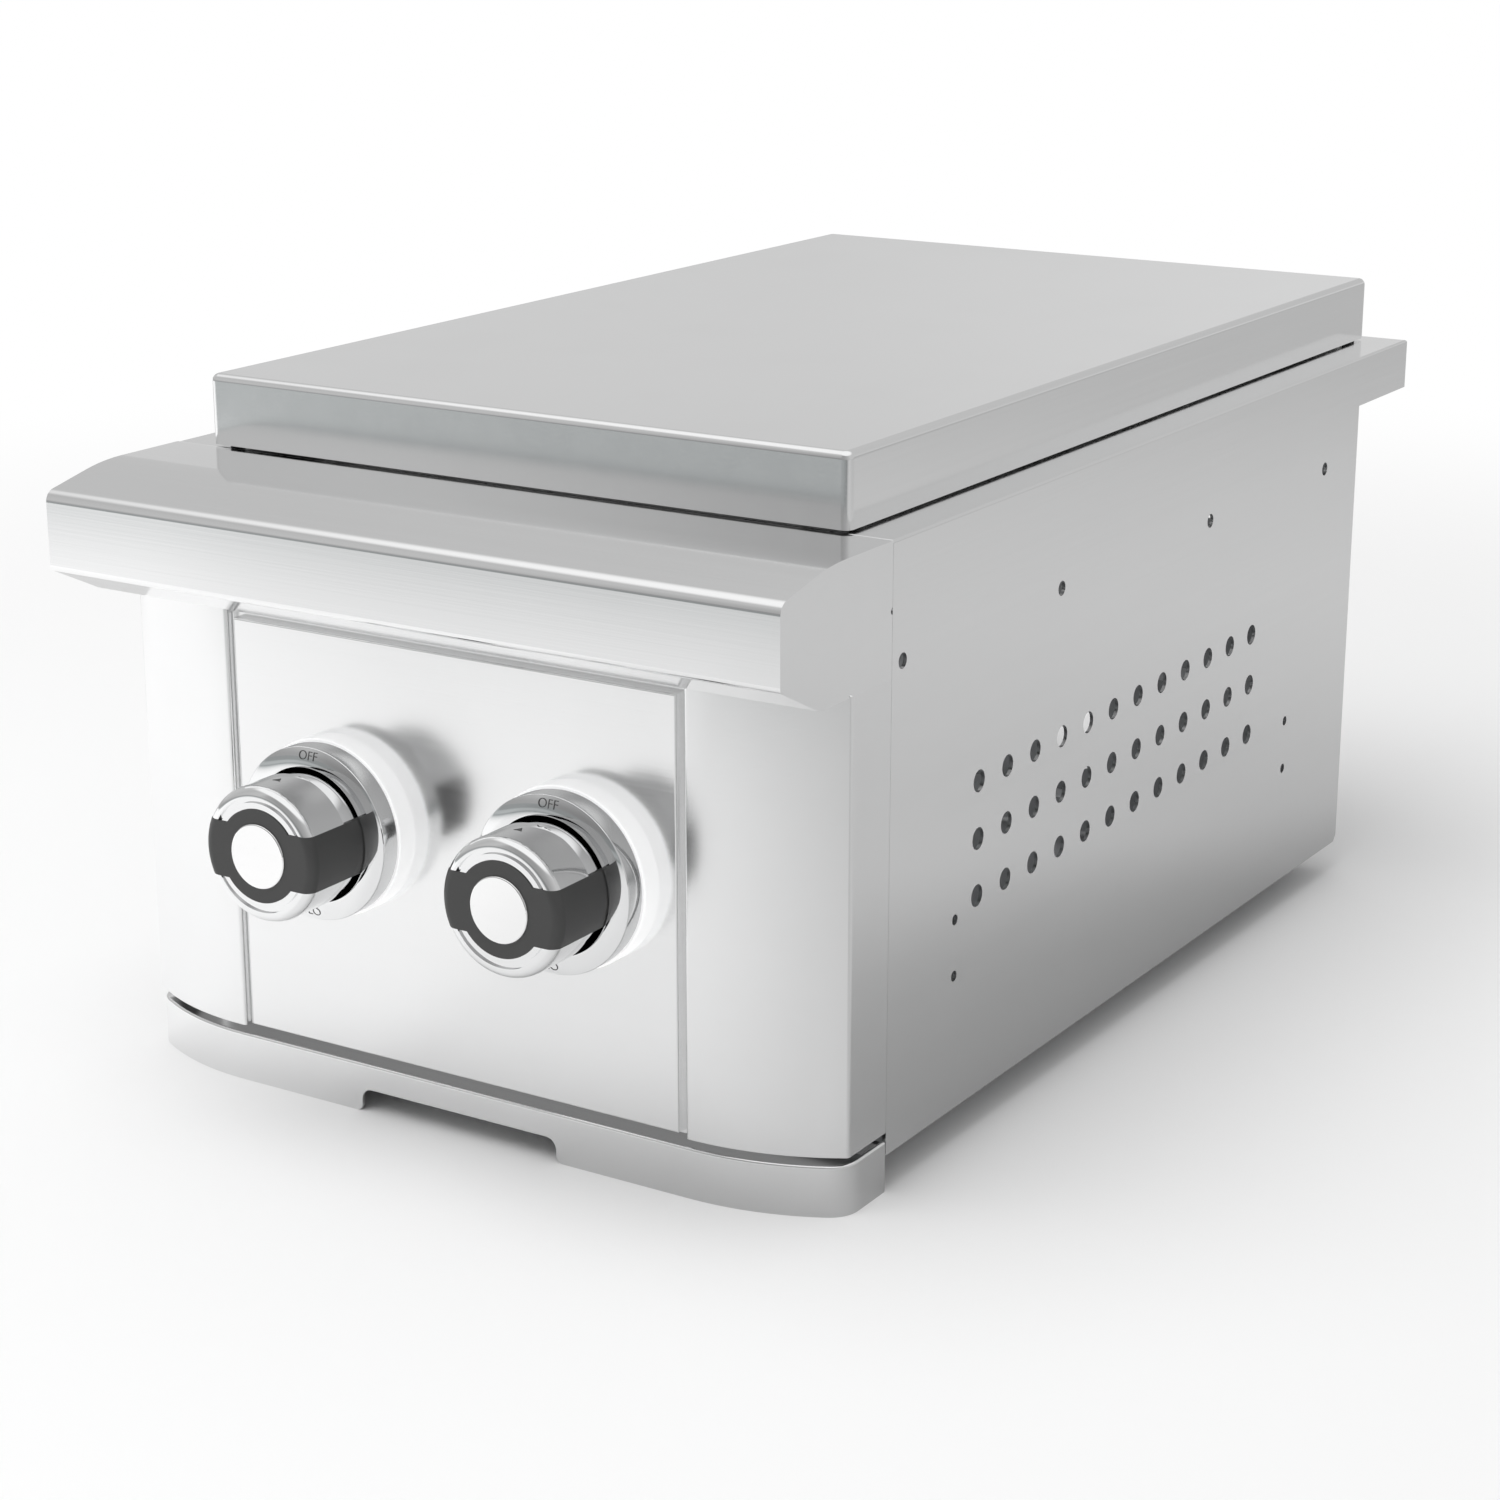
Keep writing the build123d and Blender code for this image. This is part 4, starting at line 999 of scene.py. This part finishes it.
@dataclass
class Controls:
    """Knobs and bezels, with the words on the bezels and a pointer on each knob.

    The rounds of the rim and lip are given by the points between their ends, each as shares of
    the round's radius, inwards and back from the face.
    """

    letter_height: float = 0.0036
    letter_thinning: float = 0.00007
    text_size_ratio: float = 1.3
    word_radius: float = 0.0322
    ink_proud: float = 0.00006
    face_tilt: float = math.radians(17)
    face_setback: float = 0.0006
    rim_round: float = 0.0006
    rim_points: Stops = ((0.12, 0.5), (0.45, 0.12))
    rim_wall: float = 0.0022
    face_wall: float = 0.0020
    opening_radius: float = 0.0273
    lip_round: float = 0.0010
    lip_points: Stops = ((0.5, 0.05), (0.87, 0.5))
    bezel_colour: Triple = (0.88, 0.884, 0.888)
    knob_colour: Triple = (0.91, 0.914, 0.918)
    button_colour: Triple = (0.99, 0.99, 0.99)
    grip_grey: Triple = (0.046, 0.046, 0.046)
    # The liner's near-black colour is painted shade for the inside of each bezel opening.
    liner_black: Triple = (0.012, 0.012, 0.012)
    pointer_corners: int = 3
    pointer_radius: float = 0.0021
    pointer_setback: float = 0.0130

    def build(self) -> list[str]:
        """Adds the bezels with their sloping faces, the printed words and the pointers.

        Returns:
            Names of the new pieces.
        """
        ink = Ink("dial ink").make()
        chrome = PolishedChrome("turned chrome", self.bezel_colour).make()
        pieces = []
        for side in Side:
            ring = self._bezel(side)
            ring.data.materials.append(chrome)
            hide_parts(f"bezel_{side.value}")
            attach(ring, "casing")
            words = self._words(side)
            for word in words:
                word.data.materials.append(ink)
                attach(word, "casing")
            pointer = self._pointer(side)
            pointer.data.materials.append(ink)
            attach(pointer, f"control_{side.value}")
            pieces += [ring, *words, pointer]
        return [piece.name for piece in pieces]

    @staticmethod
    def _seat(side: Side) -> tuple[Vector, float, float]:
        """Place and size of a bezel in the CAD model.

        Args:
            side: Which knob it surrounds.

        Returns:
            Middle of its front, its outer radius and its depth.
        """
        low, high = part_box(f"bezel_{side.value}")
        middle = (low + high) / 2
        return Vector((middle.x, low.y, middle.z)), (high.x - low.x) / 2, high.y - low.y

    def _bezel(self, side: Side) -> bpy.types.Object:
        """Makes a bezel whose face slopes back from the opening to the rim.

        Args:
            side: Which knob it surrounds.

        Returns:
            The bezel as a turned ring.
        """
        middle, outer, deep = self._seat(side)
        inner = outer - self.rim_wall
        rim = outer - self.face_setback
        lip = self.opening_radius + self.lip_round
        crown = (rim - lip) * math.tan(self.face_tilt)
        profile = [
            (inner, deep),
            (outer, deep),
            (outer, self.rim_round),
            *self._round((outer, 0), self.rim_round, self.rim_points),
            (rim, 0),
            (lip, -crown),
            *self._round((lip, -crown), self.lip_round, self.lip_points),
            (self.opening_radius, self.lip_round - crown),
            (self.opening_radius, self.face_wall),
            (inner, self.face_wall),
        ]
        return turned(profile, middle, f"bezel_turned_{side.value}")

    @staticmethod
    def _round(corner: Pair, radius: float, points: Stops) -> list[Pair]:
        """Points of a rounded edge between its two ends.

        Args:
            corner: Radius and distance along Y from which the points are counted.
            radius: Radius of the round.
            points: Shares of that radius, inwards and back.

        Returns:
            Radius and distance along Y of each point.
        """
        start, front = corner
        return [(start - radius * inward, front + radius * back) for inward, back in points]

    def _words(self, side: Side) -> list[bpy.types.Object]:
        """Makes the words round one knob.

        Args:
            side: Which knob they surround.

        Returns:
            The words, just proud of the sloping face.
        """
        middle, outer, _ = self._seat(side)
        slope = math.tan(self.face_tilt)
        proud = (outer - self.face_setback - self.word_radius) * slope + self.ink_proud
        words = []
        for word, (across, up) in {"OFF": (0, 1), "HI": (-1, 0), "LO": (0, -1)}.items():
            spot = middle + Vector((across * self.word_radius, -proud, up * self.word_radius))
            tilt = (-up * self.face_tilt, 0, across * self.face_tilt)
            words.append(self._word(word, spot, tilt, f"dial_{word.lower()}_{side.value}"))
        return words

    def _word(self, word: str, spot: Vector, tilt: Triple, name: str) -> bpy.types.Object:
        """Makes one word that faces the front.

        Args:
            word: Letters to draw.
            spot: Middle of the word on the face of the bezel.
            tilt: Angles about X, Y and Z that lay it on the sloping face.
            name: Name of the piece.

        Returns:
            The word as a thin solid mesh.
        """
        deselect()
        bpy.ops.object.text_add(location=(0, 0, 0), rotation=(RIGHT_ANGLE, 0, 0))
        text = bpy.context.object
        text.data.body = word
        text.data.align_x = "CENTER"
        text.data.align_y = "CENTER"
        text.data.extrude = self.ink_proud
        text.data.size = self.letter_height * self.text_size_ratio
        text.data.offset = -self.letter_thinning
        bpy.ops.object.convert(target="MESH")
        piece = settle(bpy.context.object, name)
        bpy.ops.object.mode_set(mode="EDIT")
        bpy.ops.mesh.select_all(action="SELECT")
        stretch = self.letter_height / piece.dimensions.z
        bpy.ops.transform.resize(value=(stretch, 1, stretch), center_override=(0, 0, 0))
        bpy.ops.object.mode_set(mode="OBJECT")
        piece.rotation_euler = tilt
        piece.location = spot
        return settle(piece, name)

    def _pointer(self, side: Side) -> bpy.types.Object:
        """Makes the small triangle on top of a knob.

        Args:
            side: Which knob it belongs to.

        Returns:
            The triangle as a thin solid mesh.
        """
        low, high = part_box(f"knob_{side.value}")
        middle_x = (low.x + high.x) / 2
        spot = (middle_x, low.y + self.pointer_setback, high.z - self.ink_proud)
        deselect()
        bpy.ops.mesh.primitive_circle_add(
            vertices=self.pointer_corners,
            radius=self.pointer_radius,
            fill_type="NGON",
            location=spot,
            rotation=(0, 0, 0),
        )
        piece = settle(bpy.context.object, f"pointer_{side.value}")
        bpy.ops.object.mode_set(mode="EDIT")
        bpy.ops.mesh.select_all(action="SELECT")
        bpy.ops.mesh.extrude_region_move(TRANSFORM_OT_translate={"value": (0, 0, 2 * self.ink_proud)})
        bpy.ops.mesh.select_all(action="SELECT")
        bpy.ops.mesh.normals_make_consistent(inside=False)
        bpy.ops.object.mode_set(mode="OBJECT")
        return piece

    def dress(self) -> list[str]:
        """Gives knobs, light rings and bezel liners their finishes.

        Returns:
            Names of the dressed nodes.
        """
        chrome = PolishedChrome("polished chrome", self.knob_colour)
        return dress(
            {
                chrome: [*both("knob"), *both("knob_stem"), *both("bezel")],
                PolishedChrome("bright button", self.button_colour): both("knob_button"),
                SatinPaint("dark grip", self.grip_grey): both("knob_grip"),
                MilkyPlastic("milky ring"): both("light_ring"),
                # The liner's near-black colour stands in for the shade inside each bezel opening: painted
                # shade.
                SatinPaint("dark liner", self.liner_black): both("bezel_liner"),
            }
        )


# Studio


@dataclass
class Studio:
    """Floor, lamps, world and camera.

    The stops are brightnesses that metal mirrors from the floor and sky. Places along turn_stops
    and horizon are directions seen from above, from 0 at the left through the front, the right
    at 0.5 and the rear. front_stops run from the middle to front_reach in front of it, and
    side_stops run over side_span, measured along side_slope. Spots and sizes are in metres.
    """

    floor_size: float = 14.0
    floor_colour: Triple = (0.95, 0.95, 0.95)
    floor_roughness: float = 0.9
    floor_gloss: float = 0.1
    floor_fade: Pair = (0.55, 1.5)
    # From mirror_fade to side_stops: the painted light and shade that mirrors see on the floor.
    mirror_fade: float = 0.6
    mirror_peak: float = 1.25
    # Painted contact shadow round the middle of the floor, seen only in mirrors.
    contact_shade_span: Pair = (0.27, 0.38)
    contact_shade_share: float = 0.85
    turn_stops: Stops = (
        (0.08, 0.88),
        (0.144, 0.90),
        (0.153, 0.82),
        (0.167, 0.78),
        (0.203, 0.755),
        (0.217, 0.68),
        (0.253, 0.665),
        (0.289, 0.61),
        (0.33, 0.53),
    )
    front_reach: float = 2.0
    front_stops: Stops = (
        (0.395, 1.0),
        (0.45, 0.96),
        (0.5, 0.86),
        (0.525, 0.80),
        (0.565, 0.66),
        (0.6, 0.54),
        (0.615, 0.46),
        (0.635, 0.26),
        (0.65, 0.30),
        (0.67, 0.40),
        (0.725, 0.46),
        (0.9, 0.44),
        (1.0, 0.30),
    )
    front_tint: Triple = (0.955, 1.0, 1.005)
    tint_span: Pair = (0.4, 0.9)
    # Painted shadow of the casing on the floor to its right, with painted light and shade further out,
    # seen only in mirrors.
    side_slope: Pair = (0.85, 0.53)
    side_span: Pair = (-0.1, 1.5)
    side_stops: Stops = (
        (0.062, 1.0),
        (0.125, 0.78),
        (0.21, 0.78),
        (0.29, 0.93),
        (0.35, 0.86),
        (0.53, 0.92),
        (0.75, 0.87),
        (0.94, 0.75),
    )
    haze: float = 0.14
    haze_share: float = 0.7
    world_light: float = 0.62
    ceiling: float = 1.0
    front_rise: Pair = (0.64, 0.82)
    rear_rise: Pair = (0.55, 0.85)
    rear_span: Pair = (-0.2, 0.3)
    above_ring: float = 0.55
    ring_end: Pair = (0.195, 0.235)
    horizon: Stops = (
        (0.0, 0.56),
        (0.08, 0.50),
        (0.145, 0.56),
        (0.163, 0.41),
        (0.19, 0.34),
        (0.25, 0.34),
        (0.34, 0.40),
        (0.50, 0.58),
        (0.66, 0.58),
        (0.75, 0.80),
        (0.811, 0.71),
        (0.835, 0.65),
        (0.858, 0.65),
        (0.875, 0.66),
        (1.0, 0.58),
    )
    softbox_spot: Triple = (-0.5, -0.9, 2.6)
    softbox_aim: Triple = (0, 0, 0.1)
    softbox_size: float = 2.4
    softbox_power: float = 42.0
    lamp_gap: float = 0.004
    gap_lamp_depth: float = 0.018
    gap_lamp_height: float = 0.03
    gap_lamp_margin: float = 0.016
    gap_lamp_tilt: float = math.radians(30)
    gap_radiance: float = 0.2
    lid_lamp_margin: float = 0.06
    lid_radiance: float = 0.3
    vent_middle: Pair = (0.02, 0.13)
    vent_lamp: Pair = (0.45, 0.20)
    vent_radiance: float = 0.36
    image_width: float = 1500.0
    focal_pixels: float = 3202.3
    sensor: float = 36.0
    clip_start: float = 0.01
    camera_spot: Triple = (0.7289, -1.1949, 0.5221)
    camera_tilt: float = math.radians(73.114)
    camera_azimuth: float = math.radians(32.063)

    def build(self) -> None:
        """Sets up the floor, the light and the camera."""
        self._floor()
        self._world()
        self._softbox()
        self._inner_lights()
        self._camera()

    def _floor(self) -> None:
        """Adds a pale floor that fades to white, and in its place for mirrors a floor with painted light
        and shade.
        """
        deselect()
        bpy.ops.mesh.primitive_plane_add(size=self.floor_size, location=(0, 0, 0))
        floor = settle(bpy.context.object, "studio_floor")
        shading = Coating("pale floor")
        spot = shading.place()
        length = shading.node("ShaderNodeVectorMath", {"operation": "LENGTH"}, {0: spot})
        distance = Value(shading.tree, length.outputs["Value"])
        across, depth, _ = shading.split(spot)
        ahead = shading.ramp(depth * (-1 / self.front_reach), self.front_stops)
        # Painted light and shade that only mirrors see on the floor.
        painted_mirror_light = self._mirrored_floor(shading, (across, depth, distance), ahead)
        glossy = shading.ray(Ray.GLOSSY)
        shading.set(
            base_color=shading.mix(glossy, self.floor_colour, painted_mirror_light.math("MINIMUM", painted_mirror_light, 1)),
            roughness=self.floor_roughness,
            specular_ior_level=self.floor_gloss,
        )
        # Painted cool tint where the mirrored floor in front is dark, seen only in mirrors.
        tint = shading.mix(ahead.above(*self.tint_span), self.front_tint, WHITE)
        cool = shading.mix(1, painted_mirror_light, tint, Blend.MULTIPLY)
        shade = shading.mix(glossy, WHITE, cool)
        white = shading.node("ShaderNodeEmission", {}, {"Color": shade, "Strength": 1.0})
        faded = (distance * (glossy * self.mirror_fade + 1)).above(*self.floor_fade)
        sockets = {0: faded, 1: shading.shader.outputs[0], 2: white.outputs[0]}
        mixed = shading.node("ShaderNodeMixShader", {}, sockets)
        shading.feed(shading.output, "Surface", mixed.outputs[0])
        floor.data.materials.append(shading.material)

    def _mirrored_floor(self, shading: Shading, spot: tuple[Value, Value, Value], ahead: Value) -> Value:
        """Painted light and shade that metal mirrors from each spot of the floor, with a painted shadow
        round the middle and to its right.

        Args:
            shading: Node tree of the floor.
            spot: Distances towards the right, towards the rear, and from the middle.
            ahead: Painted brightness along the depth.

        Returns:
            The painted brightness.
        """
        across, depth, distance = spot
        # Painted light on the left and front left, fading to painted shade to the right and rear.
        turn = shading.ramp(bearing(across, depth), self.turn_stops)
        aside = weighed((across, depth), self.side_slope)
        start, end = self.side_span
        # Painted shadow to the right of the casing, seen only in mirrors.
        side_shade = shading.ramp((aside - start) * (1 / (end - start)), self.side_stops)
        # Painted contact shadow: the mirrored floor is darker round the middle.
        contact_shade = distance.above(*self.contact_shade_span) * (1 - self.contact_shade_share) + self.contact_shade_share
        return turn * ahead * (contact_shade * side_shade) * self.mirror_peak

    def _world(self) -> None:
        """Makes a white background, an even light, and a room that metal mirrors."""
        world = bpy.data.worlds.new("studio")
        world.use_nodes = True
        bpy.context.scene.world = world
        sky = Shading(world.node_tree)
        across, depth, height = sky.split(sky.node("ShaderNodeTexCoord").outputs["Generated"])
        behind = depth.above(*self.rear_span)
        ring = sky.ramp(bearing(across, depth), self.horizon)
        ring = ring + height.above(*self.ring_end) * behind * (self.above_ring - ring)
        low = ring * (height.above(0, self.haze) * (1 - self.haze_share) + self.haze_share)
        front = height.above(*self.front_rise)
        rear = height.above(*self.rear_rise)
        room = sky.mix(front + behind * (rear - front), low, (self.ceiling,) * 3)
        glossy = sky.mix(sky.ray(Ray.GLOSSY), (self.world_light,) * 3, room)
        seen = sky.mix(sky.ray(Ray.CAMERA), glossy, WHITE)
        background = sky.node("ShaderNodeBackground", {}, {"Color": seen, "Strength": 1.0})
        sky.node("ShaderNodeOutputWorld", {}, {"Surface": background.outputs[0]})

    def _softbox(self) -> None:
        """Hangs one large soft lamp over the front left, which metal doesn't mirror."""
        lamp = bpy.data.lights.new("overhead softbox", "AREA")
        lamp.shape = "SQUARE"
        lamp.size = self.softbox_size
        lamp.energy = self.softbox_power
        holder = bpy.data.objects.new("overhead softbox", lamp)
        holder.location = self.softbox_spot
        holder.visible_glossy = False
        aim = Vector(self.softbox_aim) - Vector(self.softbox_spot)
        holder.rotation_euler = aim.to_track_quat("-Z", "Y").to_euler()
        bpy.context.scene.collection.objects.link(holder)

    def _inner_lights(self) -> None:
        """Puts weak lamps inside the casing and lid, so that vents and gaps read grey, not black."""
        _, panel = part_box("control_panel")
        apron_low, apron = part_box("tray_apron")
        side_low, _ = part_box("side_panel_right")
        lid_low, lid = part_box("lid")
        gap_spot = (0, panel.y + self.gap_lamp_depth, apron.z + self.gap_lamp_depth)
        gap_size = (apron.x - apron_low.x - self.gap_lamp_margin, self.gap_lamp_height)
        self._sheet_lamp("gap fill", gap_spot, (-self.gap_lamp_tilt, 0, 0), gap_size, self.gap_radiance)
        lid_spot = (0, (lid_low.y + lid.y) / 2, lid_low.z + self.lamp_gap)
        lid_size = (lid.x - lid_low.x - self.lid_lamp_margin, lid.y - lid_low.y - self.lid_lamp_margin)
        self._sheet_lamp("lid fill", lid_spot, (0, 0, 0), lid_size, self.lid_radiance)
        depth, height = self.vent_lamp
        for side in (-1, 1):
            spot = (side * (side_low.x - self.lamp_gap), *self.vent_middle)
            turn = (0, side * RIGHT_ANGLE, 0)
            self._sheet_lamp(f"vent fill {side}", spot, turn, (height, depth), self.vent_radiance)

    @staticmethod
    def _sheet_lamp(name: str, spot: Triple, turn: Triple, size: Pair, radiance: float) -> None:
        """Adds a flat lamp that the camera doesn't see.

        Args:
            name: Name of the lamp.
            spot: Its middle.
            turn: Angles about X, Y and Z in radians; unturned, it shines down.
            size: Its two sides.
            radiance: Brightness of its face.
        """
        lamp = bpy.data.lights.new(name, "AREA")
        lamp.shape = "RECTANGLE"
        lamp.size, lamp.size_y = size
        lamp.energy = radiance * math.pi * lamp.size * lamp.size_y
        holder = bpy.data.objects.new(name, lamp)
        holder.location = spot
        holder.rotation_euler = turn
        holder.visible_camera = False
        bpy.context.scene.collection.objects.link(holder)

    def _camera(self) -> None:
        """Adds the camera at the photograph's place."""
        lens = bpy.data.cameras.new("photo camera")
        lens.sensor_width = self.sensor
        lens.lens = self.focal_pixels / self.image_width * self.sensor
        lens.clip_start = self.clip_start
        holder = bpy.data.objects.new("photo camera", lens)
        holder.location = self.camera_spot
        holder.rotation_euler = (self.camera_tilt, 0, self.camera_azimuth)
        bpy.context.scene.collection.objects.link(holder)
        bpy.context.scene.camera = holder


def main() -> None:
    """Builds and dresses each sub-assembly in order, and reports each piece."""
    logging.basicConfig(level=logging.INFO)
    bpy.context.scene.view_settings.view_transform = "Standard"
    controls = Controls()
    for name in controls.build():
        log.info("Controls: built %s", name)
    for part in (Casing(), Lid(), DripTray(), Burners(), GasTrain(), controls):
        for name in part.dress():
            log.info("%s: dressed %s", type(part).__name__, name)
    Studio().build()
    log.info("Studio: built floor, light and camera")


if __name__ == "__main__":
    main()
